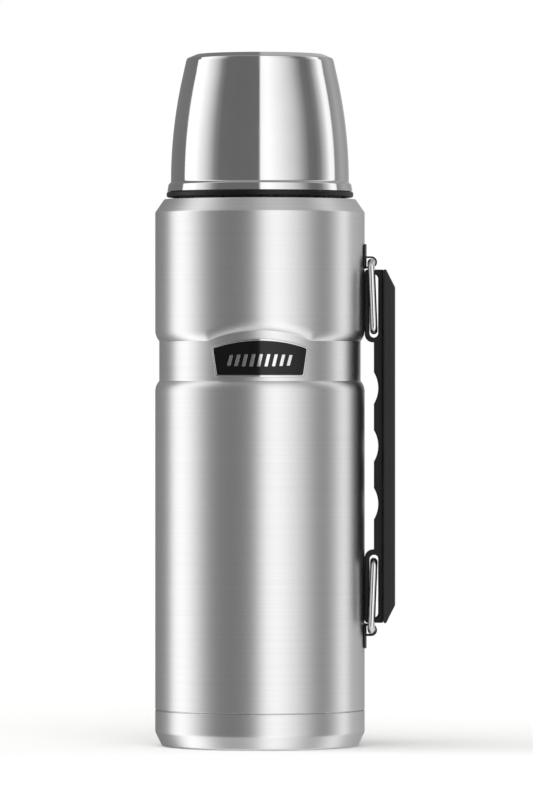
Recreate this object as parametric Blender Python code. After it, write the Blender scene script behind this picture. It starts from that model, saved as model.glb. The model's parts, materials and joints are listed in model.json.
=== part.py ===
"""Vacuum flask with a screw-on cup, a screw stopper and a handle that folds flat on two wire bails.

Metres, +Z up. The origin is the centre of the flat base, Z is the flask's axis, the handle is on +X
and the badge faces -Y.
"""

import math

import bmesh
import bpy
from mathutils import Matrix, Vector

MM = 0.001

# Clearances and mesh steps
GAP = 0.3 * MM  # between two fixed pieces that touch on the real flask
RUN_GAP = 0.4 * MM  # round threads and anything else that slides past its neighbour
ROUND_STEPS = 32  # round the flask's axis
FILLET_STEPS = 2
WELD = 0.001 * MM
OVERSHOOT = 1.0 * MM  # how far a cutter or a joined piece runs past the face it meets

# Steel walls
BODY_RADIUS = 48.0 * MM
SHEET = 0.6 * MM
VACUUM_GAP = 3.2 * MM

# Base cap
BASE_CAP_HEIGHT = 16.4 * MM
BASE_CHAMFER_WIDTH = 3.1 * MM
BASE_CHAMFER_HEIGHT = 6.5 * MM
BASE_FOOT_ROUND = 0.8 * MM
BASE_CHAMFER_ROUND = 2.0 * MM
SEAM = 0.4 * MM  # groove between the base cap and the shell
SKIRT_OVERLAP = 6.8 * MM  # how far the shell reaches down into the cap

# Shoulder and neck of the outer shell
SHOULDER_HEIGHT = 244.3 * MM
SHOULDER_WIDTH = 4.1 * MM
SHOULDER_RISE = 6.0 * MM
LEDGE_WIDTH = 6.9 * MM
LEDGE_RISE = 0.6 * MM
NECK_HEIGHT = 17.0 * MM
LIP_WIDTH = 9.0 * MM
LIP_HEIGHT = 2.1 * MM
NECK_ROUND = 2.5 * MM

# Recessed band, and the arch in its upper edge over the badge
BAND_DROP = 81.9 * MM  # from the shoulder down to where the wall starts to turn in
BAND_DEPTH = 1.85 * MM
BAND_LOWER_ROUND = 4.8 * MM
BAND_FLOOR = 18.1 * MM
BAND_UPPER_ROUND = 5.2 * MM
ARCH_HALF_WIDTH = 25.4 * MM  # measured round the wall
ARCH_RISE = 4.8 * MM

# Badge, sizes measured round the wall
BADGE_LIFT = 2.7 * MM  # above the band's lower corner
BADGE_HALF_BOTTOM = 19.6 * MM
BADGE_HALF_TOP = 21.5 * MM
BADGE_SIDE_HEIGHT = 11.9 * MM
BADGE_CROWN = 3.6 * MM
BADGE_BORDER = 0.9 * MM
BADGE_SHEET = 0.3 * MM
BADGE_CORNER = 0.8 * MM

# Inner vessel
VESSEL_FLOOR = 20.5 * MM
VESSEL_SKIRT = 3.5 * MM
VESSEL_SHOULDER_DROP = 15.3 * MM  # below the outer shoulder's lower edge
VESSEL_NECK_DROP = 3.3 * MM
VESSEL_NECK = 2.0 * MM  # from the shoulder's cone up to the seat
VESSEL_ROUND = 10.0 * MM
VESSEL_DISH_LIFT = 1.0 * MM
VESSEL_DISH_RIM = 5.0 * MM
SEAT_WIDTH = 3.3 * MM  # the cone that the stopper's seal meets
SEAT_HEIGHT = 5.7 * MM
FOIL = 0.2 * MM
FOIL_MARGIN = 9.0 * MM
OUTER_BOTTOM_LIFT = 12.6 * MM
DIMPLE_RADIUS = 6.0 * MM
DIMPLE_DEPTH = 1.8 * MM
EVACUATION_RADIUS = 1.0 * MM
PLUG_MARGIN = 2.0 * MM  # from the plug's edge to the dimple's wall
PLUG_HEIGHT = 1.0 * MM
GETTER_RADIUS = 5.0 * MM
GETTER_HEIGHT = 1.6 * MM

# Threads: the cup on the neck, and the stopper in the mouth
THREAD_LEAD = 6.0 * MM
THREAD_HEIGHT = 1.2 * MM
THREAD_BASE = 2.4 * MM
THREAD_TIP = 1.0 * MM
THREAD_PLAY = 0.6 * MM  # between a thread's flank and its mate's below it
THREAD_TURNS = 1.15
THREAD_FADE = 0.1  # of a turn, at each end
THREAD_MARGIN = 0.3 * MM  # from the cup thread's foot to the liner's rim
STOPPER_THREAD_DROP = 14.0 * MM

# Cup
CUP_HEIGHT = 65.6 * MM
CUP_RING_INSET = 1.1 * MM
CUP_RING_HEIGHT = 2.5 * MM
CUP_RING_CLEARANCE = 2.0 * MM  # from the neck
CUP_RING_LOWER_ROUND = 0.9 * MM
CUP_RING_UPPER_ROUND = 0.7 * MM
CUP_RIM_INSET = 0.4 * MM
CUP_RIM_HEIGHT = 3.4 * MM
CUP_RIM_TAPER = 0.5 * MM
CUP_RIM_STEP = 1.1 * MM
CUP_WALL_DROP = 3.8 * MM  # top of the wall below the cup's top
CUP_TAPER = 6.9 * MM
CUP_EDGE_INSET = 0.5 * MM
CUP_BEVEL_INSET = 5.0 * MM
CUP_BEVEL_HEIGHT = 1.9 * MM
CUP_AIR_GAP = 1.6 * MM
LINER_WALL = 1.6 * MM
LINER_SLEEVE_HEIGHT = 17.0 * MM
LINER_SLEEVE_TAPER = 2.0 * MM
LINER_SLEEVE_FLOOR = 1.0 * MM
LINER_CROWN = 4.0 * MM
LINER_INNER_CROWN = 3.5 * MM

# Stopper
STOPPER_WALL = 2.2 * MM
STOPPER_LAND = 1.0 * MM  # between the neck's lip and the knob
KNOB_OVERHANG = 3.5 * MM
KNOB_HEIGHT = 17.5 * MM
KNOB_WALL = 2.2 * MM
KNOB_COLLAR = 4.5 * MM
KNOB_FOOT_ROUND = 0.8 * MM
KNOB_ROUND = 3.0 * MM
GRIP_RIBS = 20
GRIP_RIB_RADIUS = 1.1 * MM
GRIP_RIB_LOW_MARGIN = 2.5 * MM
GRIP_RIB_HIGH_MARGIN = 4.5 * MM
SEAL_HEIGHT = 3.4 * MM
SEAL_WIDTH = 5.6 * MM
SEAL_ROUND = 0.6 * MM
RETAINER_HEIGHT = 2.2 * MM
RETAINER_ROUND = 0.8 * MM
RETAINER_BOSS = 6.0 * MM
CHANNEL_WIDTH = 11.0 * MM
CHANNEL_DEPTH = 1.2 * MM

# Brackets
EYELET_DROP = 22.8 * MM  # upper eyelet below the shoulder
EYELET_RISE = 36.7 * MM  # lower eyelet above the base cap
STRAP = 0.7 * MM
STRAP_MARGIN = 1.1 * MM  # from the strap's side to where the bail starts to bend
PLATE_SHEET = 0.6 * MM
PLATE_HALF_WIDTH = 8.6 * MM
PLATE_MARGIN = 0.2 * MM  # past the strap, on the side towards the handle
PLATE_LONG_SIDE = 8.3 * MM  # from the bail axis, on the side away from the handle

# Bails
WIRE_RADIUS = 1.6 * MM
BAIL_CLEARANCE = 1.0 * MM  # between a bail's leg and the grip's side
BAIL_CORNER = 3.2 * MM
BAIL_LEAN = 1.3 * MM  # how far the bar in the handle stands out from the bar in the eyelet

# Handle
HANDLE_END_GAP = 0.7 * MM  # between the handle's end and the eyelet
HANDLE_BODY_GAP = 0.4 * MM
GRIP_INNER = 4.3 * MM  # finger side of the grip from the wall
GRIP_DEPTH = 4.0 * MM
GRIP_HALF_WIDTH = 7.5 * MM
SLOT_CLEARANCE = 0.45 * MM  # on each side of the bail's bar
SLOT_LENGTH = 29.1 * MM
SLOT_END_WALL = 2.0 * MM
LOBE_WALL = 2.2 * MM
LOBE_ROUND = 1.0 * MM
LOBE_FOOT = 0.1 * MM
BAR_REST = 1.05 * MM  # bail bar from the slot's end at rest
SCALLOPS = 3
SCALLOP_RADIUS = 14.1 * MM
SCALLOP_LAND = 12.1 * MM
SCALLOP_MARGIN = 7.65 * MM
COVER_DEPTH = 5.4 * MM
COVER_HALF_WIDTH = 12.0 * MM
COVER_CHAMFER_DEPTH = 4.2 * MM
COVER_CHAMFER_LENGTH = 8.0 * MM
COVER_SHELF_ROUND = 0.8 * MM
COVER_CHAMFER_ROUND = 2.5 * MM
COVER_EDGE = 1.5 * MM
TONGUE_DEPTH = 2.4 * MM
TONGUE_HALF_WIDTH = 5.0 * MM
TONGUE_MARGIN = 13.0 * MM

# Levels and radii that several pieces share
SHOULDER_RADIUS = BODY_RADIUS - SHOULDER_WIDTH
NECK_RADIUS = SHOULDER_RADIUS - LEDGE_WIDTH
MOUTH_RADIUS = NECK_RADIUS - LIP_WIDTH
SHOULDER_TOP = SHOULDER_HEIGHT + SHOULDER_RISE
LEDGE_TOP = SHOULDER_TOP + LEDGE_RISE
NECK_TOP = LEDGE_TOP + NECK_HEIGHT
LIP_TOP = NECK_TOP + LIP_HEIGHT
SHELL_BOTTOM = BASE_CAP_HEIGHT + SEAM
SKIRT_RADIUS = BODY_RADIUS - SHEET - GAP
BAND_BOTTOM = SHOULDER_HEIGHT - BAND_DROP
BAND_LOW = BAND_BOTTOM + BAND_LOWER_ROUND
BAND_HIGH = BAND_LOW + BAND_FLOOR
BAND_TOP = BAND_HIGH + BAND_UPPER_ROUND
BAND_RADIUS = BODY_RADIUS - BAND_DEPTH
VESSEL_RADIUS = BODY_RADIUS - SHEET - VACUUM_GAP - SHEET
VESSEL_INSIDE = VESSEL_RADIUS - SHEET
VESSEL_SHOULDER = SHOULDER_HEIGHT - VESSEL_SHOULDER_DROP
SEAT_RADIUS = MOUTH_RADIUS - SEAT_WIDTH
SEAT_LOW = SHOULDER_HEIGHT - VESSEL_NECK_DROP
SEAT_HIGH = SEAT_LOW + SEAT_HEIGHT
RING_BOTTOM = LEDGE_TOP + GAP
RING_TOP = RING_BOTTOM + CUP_RING_HEIGHT
CUP_TOP = RING_BOTTOM + CUP_HEIGHT
RING_RADIUS = SHOULDER_RADIUS - CUP_RING_INSET
CUP_RIM_RADIUS = RING_RADIUS - CUP_RIM_INSET
CUP_RIM_TOP = RING_TOP + CUP_RIM_HEIGHT
CUP_WALL_RADIUS = CUP_RIM_RADIUS - CUP_RIM_TAPER - CUP_RIM_STEP
CUP_WALL_BOTTOM = CUP_RIM_TOP + CUP_RIM_STEP
CUP_WALL_TOP = CUP_TOP - CUP_WALL_DROP
THREAD_STEP = (THREAD_BASE + THREAD_TIP) / 2 + THREAD_PLAY  # a thread's centre above its mate's
LINER_BORE = NECK_RADIUS + THREAD_HEIGHT + RUN_GAP
LINER_LOW = RING_TOP + GAP
CUP_THREAD_START = LINER_LOW + THREAD_MARGIN + THREAD_BASE / 2
STOPPER_RADIUS = MOUTH_RADIUS - THREAD_HEIGHT - 2 * RUN_GAP
STOPPER_BOTTOM = SEAT_HIGH - GAP
STOPPER_TOP = LIP_TOP + STOPPER_LAND
KNOB_TOP = STOPPER_TOP + GAP + KNOB_HEIGHT
EYELET_X = BODY_RADIUS + GAP + PLATE_SHEET + RUN_GAP + WIRE_RADIUS
UPPER_EYELET = SHOULDER_HEIGHT - EYELET_DROP
LOWER_EYELET = BASE_CAP_HEIGHT + EYELET_RISE
EYELET_INNER = WIRE_RADIUS + RUN_GAP
EYELET_OUTER = EYELET_INNER + STRAP
BAIL_HALF_WIDTH = GRIP_HALF_WIDTH + BAIL_CLEARANCE + WIRE_RADIUS
STRAP_HALF_WIDTH = BAIL_HALF_WIDTH - BAIL_CORNER - STRAP_MARGIN
HANDLE_MIDDLE = (UPPER_EYELET + LOWER_EYELET) / 2
HANDLE_HALF = UPPER_EYELET - HANDLE_MIDDLE - EYELET_OUTER - HANDLE_END_GAP
SLOT_X = EYELET_X + BAIL_LEAN
SLOT_WIDTH = 2 * (WIRE_RADIUS + SLOT_CLEARANCE)
SLOT_INNER_END = HANDLE_HALF - SLOT_END_WALL - SLOT_LENGTH
BAR_LEVEL = SLOT_INNER_END + SLOT_WIDTH / 2 + BAR_REST
LOBE_INNER_END = SLOT_INNER_END - LOBE_WALL
GRIP_INNER_X = BODY_RADIUS + GRIP_INNER
GRIP_OUTER_X = GRIP_INNER_X + GRIP_DEPTH
COVER_X = GRIP_OUTER_X + GAP


# Scene, materials and objects


def clear_scene():
    for thing in list(bpy.data.objects):
        bpy.data.objects.remove(thing, do_unlink=True)


def finish(name, colour, metallic, roughness):
    """A Principled material of one linear colour."""
    material = bpy.data.materials.new(name)
    material.use_nodes = True
    shader = material.node_tree.nodes["Principled BSDF"]
    shader.inputs["Base Color"].default_value = (*colour, 1.0)
    shader.inputs["Metallic"].default_value = metallic
    shader.inputs["Roughness"].default_value = roughness
    return material


def add_piece(name, shape, material, origin=(0.0, 0.0, 0.0)):
    """Makes an object of the bmesh, with its origin on the given point."""
    bmesh.ops.translate(shape, vec=-Vector(origin), verts=shape.verts)
    mesh = bpy.data.meshes.new(name)
    shape.to_mesh(mesh)
    shape.free()
    mesh.materials.append(material)
    mesh.shade_smooth()
    mesh.set_sharp_from_angle(angle=math.radians(35))
    piece = bpy.data.objects.new(name, mesh)
    piece.location = origin
    bpy.context.scene.collection.objects.link(piece)
    return piece


def add_tool(name, shape):
    """Makes a hidden object that only a Boolean reads."""
    mesh = bpy.data.meshes.new(name)
    shape.to_mesh(mesh)
    shape.free()
    tool = bpy.data.objects.new(name, mesh)
    tool.hide_render = True
    tool.display_type = "WIRE"
    bpy.context.scene.collection.objects.link(tool)
    return tool


def combine(piece, shape, operation):
    """Joins the shape to the piece, or cuts it out."""
    order = len(piece.modifiers)
    modifier = piece.modifiers.new(f"{operation.lower()}_{order}", "BOOLEAN")
    modifier.operation = operation
    modifier.object = add_tool(f"{piece.name}_tool_{order}", shape)


def add_pivot(name, place):
    """An empty on a joint's axis, for pieces that move together."""
    pivot = bpy.data.objects.new(name, None)
    pivot.location = place
    pivot.empty_display_size = WIRE_RADIUS
    bpy.context.scene.collection.objects.link(pivot)
    return pivot


def hang(piece, pivot):
    piece.parent = pivot
    piece.matrix_parent_inverse = Matrix.Translation(-pivot.location)


# Shapes


def rounded(corners):
    """The outline through corners (a, b, fillet), with each fillet as a short arc."""
    outline = []
    for index, (a, b, fillet) in enumerate(corners):
        corner = Vector((a, b))
        if fillet == 0:
            outline.append(corner)
            continue
        back = (Vector(corners[index - 1][:2]) - corner).normalized()
        ahead = (Vector(corners[(index + 1) % len(corners)][:2]) - corner).normalized()
        half = back.angle(ahead) / 2
        centre = corner + (back + ahead).normalized() * fillet / math.sin(half)
        first = corner + back * fillet / math.tan(half) - centre
        turn = math.copysign(math.pi - 2 * half, back.cross(ahead))
        for step in range(FILLET_STEPS + 1):
            outline.append(centre + Matrix.Rotation(-turn * step / FILLET_STEPS, 2) @ first)
    return outline


def arc(centre, radius, first, last, steps):
    """Points (a, b) on an arc between two angles in radians."""
    angles = [first + (last - first) * step / steps for step in range(steps + 1)]
    return [(centre[0] + radius * math.cos(a), centre[1] + radius * math.sin(a)) for a in angles]


def spun(outline):
    """The solid that a half section (radius, height) sweeps round the Z axis."""
    shape = bmesh.new()
    verts = [shape.verts.new((radius, 0, height)) for radius, height in outline]
    loop = verts if outline[0][0] == 0 else verts + verts[:1]
    edges = [shape.edges.new(pair) for pair in zip(loop, loop[1:])]
    bmesh.ops.spin(
        shape,
        geom=verts + edges,
        cent=(0, 0, 0),
        axis=(0, 0, 1),
        angle=2 * math.pi,
        steps=ROUND_STEPS,
        use_merge=True,
    )
    bmesh.ops.remove_doubles(shape, verts=shape.verts, dist=WELD)
    bmesh.ops.recalc_face_normals(shape, faces=shape.faces)
    return shape


def extruded(outline, half_width):
    """The (x, z) outline carried along Y, to the same distance each way."""
    shape = bmesh.new()
    side = shape.faces.new([shape.verts.new((x, -half_width, z)) for x, z in outline])
    grown = bmesh.ops.extrude_face_region(shape, geom=[side])["geom"]
    far = [item for item in grown if isinstance(item, bmesh.types.BMVert)]
    bmesh.ops.translate(shape, vec=(0, 2 * half_width, 0), verts=far)
    bmesh.ops.recalc_face_normals(shape, faces=shape.faces)
    return shape


def block(low, high):
    shape = bmesh.new()
    bmesh.ops.create_cube(shape, size=1.0)
    size = Vector(high) - Vector(low)
    bmesh.ops.scale(shape, vec=size, verts=shape.verts)
    bmesh.ops.translate(shape, vec=Vector(low) + size / 2, verts=shape.verts)
    return shape


def skinned(rings):
    """A closed skin over rings of the same number of points, with a face at each end."""
    shape = bmesh.new()
    loops = [[shape.verts.new(point) for point in ring] for ring in rings]
    for near, far in zip(loops, loops[1:]):
        for index in range(len(near)):
            follow = (index + 1) % len(near)
            shape.faces.new((near[index], near[follow], far[follow], far[index]))
    shape.faces.new(loops[0])
    shape.faces.new(loops[-1])
    bmesh.ops.recalc_face_normals(shape, faces=shape.faces)
    return shape


def wrapped(arcs, facing, wall, sheet, bottom, top):
    """A plate on the wall. Its edges' heights are functions of the distance round the wall."""
    rings = []
    for along in arcs:
        turn = facing + along / wall
        side = Vector((math.cos(turn), math.sin(turn), 0))
        corners = ((wall, bottom), (wall + sheet, bottom), (wall + sheet, top), (wall, top))
        rings.append([side * radius + Vector((0, 0, level(along))) for radius, level in corners])
    return skinned(rings)


def thread(root, crest, start):
    """A helical ridge of trapezium section. Its root is sunk in the wall, and its ends fade into it."""
    sunk = root - math.copysign(SHEET / 2, crest - root)
    steps = round(THREAD_TURNS * ROUND_STEPS)
    fade_steps = int(ROUND_STEPS * THREAD_FADE)
    rings = []
    for step in range(steps + 1):
        fade = min(1.0, step / fade_steps, (steps - step) / fade_steps)
        tip = (sunk + root) / 2 + (crest - (sunk + root) / 2) * fade
        turn = 2 * math.pi * step / ROUND_STEPS
        level = start + THREAD_LEAD * step / ROUND_STEPS
        half_base = THREAD_BASE / 2
        half_tip = THREAD_TIP / 2
        section = ((sunk, -half_base), (tip, -half_tip), (tip, half_tip), (sunk, half_base))
        rings.append([(r * math.cos(turn), r * math.sin(turn), level + z) for r, z in section])
    return skinned(rings)


def mirrored(shape):
    """The shape turned over about the handle's middle height."""
    bmesh.ops.scale(shape, vec=(1, 1, -1), verts=shape.verts)
    bmesh.ops.translate(shape, vec=(0, 0, 2 * HANDLE_MIDDLE), verts=shape.verts)
    bmesh.ops.recalc_face_normals(shape, faces=shape.faces)
    return shape


# Outer shell, base and vacuum


def band_side(steps, low):
    """Points of one convex round between the wall and the band, from the wall to the band."""
    height = BAND_LOWER_ROUND if low else BAND_UPPER_ROUND
    radius = (BAND_DEPTH**2 + height**2) / (2 * BAND_DEPTH)
    sweep = math.asin(height / radius)
    centre = (BODY_RADIUS - radius, BAND_BOTTOM if low else BAND_TOP)
    return arc(centre, radius, 0, sweep if low else -sweep, steps)


def wall_outline():
    """The outside of the shell from the skirt's foot to the lip, without the band's arch."""
    return [
        (SKIRT_RADIUS, SHELL_BOTTOM - SKIRT_OVERLAP),
        (SKIRT_RADIUS, SHELL_BOTTOM),
        (BODY_RADIUS, SHELL_BOTTOM),
        *band_side(3, True),
        *reversed(band_side(3, False)),
        *shoulder_outline(0.0),
    ]


def shoulder_outline(inset):
    """The shell's line from the shoulder to the lip, moved inwards by the sheet for its inside."""
    lip_radius = MOUTH_RADIUS + 2 * SHEET + GAP - inset
    return rounded(
        [
            (BODY_RADIUS - inset, SHOULDER_HEIGHT - inset / 2, 0),
            (SHOULDER_RADIUS - inset, SHOULDER_TOP - inset, 0),
            (NECK_RADIUS - inset, LEDGE_TOP - inset, 0),
            (NECK_RADIUS - inset, NECK_TOP - inset, NECK_ROUND - inset),
            (lip_radius, NECK_TOP - inset, 0),
            (lip_radius, LIP_TOP, 0),
        ]
    )


def raise_arch(shape):
    """Lifts the band's upper edge in an arch over the badge, which faces -Y."""
    for vert in shape.verts:
        radius = math.hypot(vert.co.x, vert.co.y)
        near_edge = BAND_HIGH - SHEET < vert.co.z < BAND_TOP + SHEET and radius > BAND_RADIUS - 2 * SHEET
        along = (math.atan2(vert.co.y, vert.co.x) + math.pi / 2) * BODY_RADIUS
        if near_edge and abs(along) < ARCH_HALF_WIDTH:
            vert.co.z += ARCH_RISE * (1 - (along / ARCH_HALF_WIDTH) ** 2)


def build_outer_shell(steel):
    outside = wall_outline()
    inside = [
        (SKIRT_RADIUS - SHEET, SHELL_BOTTOM - SKIRT_OVERLAP),
        (SKIRT_RADIUS - SHEET, SHELL_BOTTOM + SHEET),
        (BODY_RADIUS - SHEET, SHELL_BOTTOM + SHEET),
        (BODY_RADIUS - SHEET, BAND_BOTTOM),
        (BAND_RADIUS - SHEET, BAND_LOW - SHEET / 2),
        (BAND_RADIUS - SHEET, BAND_HIGH + SHEET / 2),
        (BODY_RADIUS - SHEET, BAND_TOP),
        *shoulder_outline(SHEET),
    ]
    shape = spun([*outside, *reversed(inside)])
    raise_arch(shape)
    shell = add_piece("outer_shell", shape, steel)
    start = CUP_THREAD_START + THREAD_STEP
    combine(shell, thread(NECK_RADIUS, NECK_RADIUS + THREAD_HEIGHT, start), "UNION")


def build_base_cap(steel):
    foot = BODY_RADIUS - BASE_CHAMFER_WIDTH
    corners = [
        (0, 0, 0),
        (foot, 0, BASE_FOOT_ROUND),
        (BODY_RADIUS, BASE_CHAMFER_HEIGHT, BASE_CHAMFER_ROUND),
        (BODY_RADIUS, BASE_CAP_HEIGHT, 0),
        (BODY_RADIUS - SHEET, BASE_CAP_HEIGHT, 0),
        (BODY_RADIUS - SHEET, BASE_CHAMFER_HEIGHT + SHEET / 2, BASE_CHAMFER_ROUND - SHEET),
        (foot - SHEET / 2, SHEET, 0),
        (0, SHEET, 0),
    ]
    add_piece("base_cap", spun(rounded(corners)), steel)


def build_outer_bottom(steel):
    """The dished disc that closes the outer wall, with a dimple and a hole to draw the air out by."""
    radius = SKIRT_RADIUS - SHEET - GAP
    foot = SHELL_BOTTOM - SKIRT_OVERLAP
    floor = OUTER_BOTTOM_LIFT
    corners = [
        (EVACUATION_RADIUS, floor + DIMPLE_DEPTH, 0),
        (DIMPLE_RADIUS, floor + DIMPLE_DEPTH, 0),
        (DIMPLE_RADIUS, floor, 0),
        (radius - SHEET, floor, 0),
        (radius - SHEET, foot, 0),
        (radius, foot, 0),
        (radius, floor + SHEET, 0),
        (DIMPLE_RADIUS + SHEET, floor + SHEET, 0),
        (DIMPLE_RADIUS + SHEET, floor + DIMPLE_DEPTH + SHEET, 0),
        (EVACUATION_RADIUS, floor + DIMPLE_DEPTH + SHEET, 0),
    ]
    add_piece("outer_bottom", spun(rounded(corners)), steel)


def build_vacuum_plug(solder):
    top = OUTER_BOTTOM_LIFT + DIMPLE_DEPTH - GAP
    low = top - PLUG_HEIGHT
    radius = DIMPLE_RADIUS - PLUG_MARGIN
    corners = [(0, low, 0), (radius, low, 0), (radius, top, 0), (0, top, 0)]
    add_piece("vacuum_plug", spun(rounded(corners)), solder)


def vessel_side(outset):
    """The vessel's line from the foot of its tube to the lip, at a distance outside its bore."""
    return rounded(
        [
            (VESSEL_INSIDE + outset, VESSEL_FLOOR, 0),
            (VESSEL_INSIDE + outset, VESSEL_SHOULDER, VESSEL_ROUND),
            (SEAT_RADIUS + outset, SEAT_LOW - VESSEL_NECK + outset / 2, 0),
            (SEAT_RADIUS + outset, SEAT_LOW, 0),
            (MOUTH_RADIUS + outset, SEAT_HIGH, 0),
            (MOUTH_RADIUS + outset, LIP_TOP, 0),
        ]
    )


def build_inner_vessel(steel):
    shape = spun([*vessel_side(SHEET), *reversed(vessel_side(0.0))])
    vessel = add_piece("inner_vessel", shape, steel)
    start = LIP_TOP - STOPPER_THREAD_DROP
    combine(vessel, thread(MOUTH_RADIUS, MOUTH_RADIUS - THREAD_HEIGHT, start), "UNION")


def build_inner_bottom(steel):
    radius = VESSEL_INSIDE - GAP
    dish = VESSEL_FLOOR + VESSEL_DISH_LIFT
    rim = radius - VESSEL_DISH_RIM
    corners = [
        (0, dish, 0),
        (rim, dish, 0),
        (radius - SHEET, dish + VESSEL_DISH_LIFT, 0),
        (radius - SHEET, VESSEL_FLOOR, 0),
        (radius, VESSEL_FLOOR, 0),
        (radius, VESSEL_FLOOR + VESSEL_SKIRT, 0),
        (radius - SHEET, VESSEL_FLOOR + VESSEL_SKIRT, 0),
        (rim, dish + SHEET, 0),
        (0, dish + SHEET, 0),
    ]
    add_piece("inner_bottom", spun(rounded(corners)), steel)


def build_foil(copper):
    inside = VESSEL_RADIUS + GAP
    low = VESSEL_FLOOR + FOIL_MARGIN
    high = VESSEL_SHOULDER - FOIL_MARGIN
    outline = [(inside, low), (inside + FOIL, low), (inside + FOIL, high), (inside, high)]
    add_piece("reflective_foil", spun(outline), copper)


def build_getter(pill, steel):
    """The pill that soaks up stray gas, in a clip below the vessel's floor."""
    top = VESSEL_FLOOR + VESSEL_DISH_LIFT - GAP
    wall = SHEET / 2
    clip_radius = GETTER_RADIUS + GAP + wall
    clip = [
        (0, top - wall, 0),
        (clip_radius - wall, top - wall, 0),
        (clip_radius - wall, top - GETTER_HEIGHT - GAP, 0),
        (clip_radius, top - GETTER_HEIGHT - GAP, 0),
        (clip_radius, top, 0),
        (0, top, 0),
    ]
    add_piece("getter_clip", spun(rounded(clip)), steel)
    high = top - wall - GAP
    low = high - GETTER_HEIGHT
    disc = [(0, low, 0), (GETTER_RADIUS, low, 0), (GETTER_RADIUS, high, 0), (0, high, 0)]
    add_piece("getter", spun(rounded(disc)), pill)


# Badge


def badge_plate(margin, wall, sheet):
    """A plate of the badge's outline grown by a margin: leaning sides and an arched top."""
    low = BAND_LOW + BADGE_LIFT - margin
    half_bottom = BADGE_HALF_BOTTOM + margin
    half_top = BADGE_HALF_TOP + margin
    side = low + BADGE_SIDE_HEIGHT + margin
    crown = BADGE_CROWN + margin

    def bottom(along):
        lean = max(0.0, abs(along) - half_bottom) / (half_top - half_bottom)
        return low + lean * (side - BADGE_CORNER - low)

    def top(along):
        return side + crown * (1 - (along / half_top) ** 2)

    steps = 6
    straight = [half_bottom * (2 * step / steps - 1) for step in range(steps + 1)]
    return wrapped([-half_top, *straight, half_top], -math.pi / 2, wall, sheet, bottom, top)


def build_badge(chrome, enamel):
    """A shallow tray lying in the band, and the dark plate inside its border."""
    tray = BAND_RADIUS + GAP
    plate = tray + BADGE_SHEET + GAP
    depth = 2 * BADGE_SHEET + GAP
    frame = add_piece("badge_frame", badge_plate(BADGE_BORDER, tray, depth), chrome)
    pocket = badge_plate(GAP, tray + BADGE_SHEET, depth)
    combine(frame, pocket, "DIFFERENCE")
    add_piece("badge_inlay", badge_plate(0.0, plate, BADGE_SHEET), enamel)


# Brackets, bails and handle


def bracket_strap():
    """The loop round the bail's bar, open towards the wall."""
    foot = BODY_RADIUS + GAP + PLATE_SHEET / 4
    centre = (EYELET_X, UPPER_EYELET)
    quarter = math.pi / 2
    outer = arc(centre, EYELET_OUTER, -quarter, quarter, 8)
    inner = arc(centre, EYELET_INNER, quarter, -quarter, 8)
    low = UPPER_EYELET - EYELET_OUTER
    high = UPPER_EYELET + EYELET_OUTER
    outline = [(foot, low), *outer, (foot, high), (foot, high - STRAP), *inner, (foot, low + STRAP)]
    return extruded(outline, STRAP_HALF_WIDTH)


def bracket_plate():
    wall = BODY_RADIUS + GAP
    low = UPPER_EYELET - EYELET_OUTER - PLATE_MARGIN
    high = UPPER_EYELET + PLATE_LONG_SIDE
    steps = 6
    arcs = [PLATE_HALF_WIDTH * (2 * step / steps - 1) for step in range(steps + 1)]
    return wrapped(arcs, 0.0, wall, PLATE_SHEET, lambda _: low, lambda _: high)


def build_brackets(coated):
    upper = add_piece("upper_bracket", bracket_plate(), coated)
    combine(upper, bracket_strap(), "UNION")
    lower = add_piece("lower_bracket", mirrored(bracket_plate()), coated)
    combine(lower, mirrored(bracket_strap()), "UNION")


def bail_path():
    """Centre line of the upper bail, a rectangle with round corners, as (y, distance below the eyelet)."""
    length = math.hypot(BAIL_LEAN, UPPER_EYELET - HANDLE_MIDDLE - BAR_LEVEL)
    wide = BAIL_HALF_WIDTH - BAIL_CORNER
    low = length - BAIL_CORNER
    quarter = math.pi / 2
    corners = ((wide, BAIL_CORNER, -1), (wide, low, 0), (-wide, low, 1), (-wide, BAIL_CORNER, 2))
    path = []
    for across, down, turn in corners:
        path += arc((across, down), BAIL_CORNER, turn * quarter, (turn + 1) * quarter, 4)
    return path


def add_bail(name, level, way, wire):
    """A closed ring of wire. Its origin is on the eyelet's axis, and way is -1 where it hangs down."""
    run = UPPER_EYELET - HANDLE_MIDDLE - BAR_LEVEL
    lean = math.atan2(BAIL_LEAN, run)
    curve = bpy.data.curves.new(name, "CURVE")
    curve.dimensions = "3D"
    curve.bevel_depth = WIRE_RADIUS
    curve.bevel_resolution = 2
    path = bail_path()
    spline = curve.splines.new("POLY")
    spline.points.add(len(path) - 1)
    spline.use_cyclic_u = True
    for point, (across, down) in zip(spline.points, path):
        point.co = (down * math.sin(lean), across, way * down * math.cos(lean), 1)
    curve.materials.append(wire)
    bail = bpy.data.objects.new(name, curve)
    bail.location = (EYELET_X, 0, level)
    bpy.context.scene.collection.objects.link(bail)


def scallops():
    """The finger hollows along the grip's inner side, from top to bottom."""
    pitch = 2 * (LOBE_INNER_END - SCALLOP_MARGIN) / SCALLOPS
    half_chord = (pitch - SCALLOP_LAND) / 2
    reach = math.asin(half_chord / SCALLOP_RADIUS)
    centre_x = GRIP_INNER_X - SCALLOP_RADIUS * math.cos(reach)
    points = []
    for index in range(SCALLOPS):
        level = HANDLE_MIDDLE + pitch * ((SCALLOPS - 1) / 2 - index)
        points += arc((centre_x, level), SCALLOP_RADIUS, reach, -reach, 5)
    return [(x, z, 0) for x, z in points]


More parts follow.
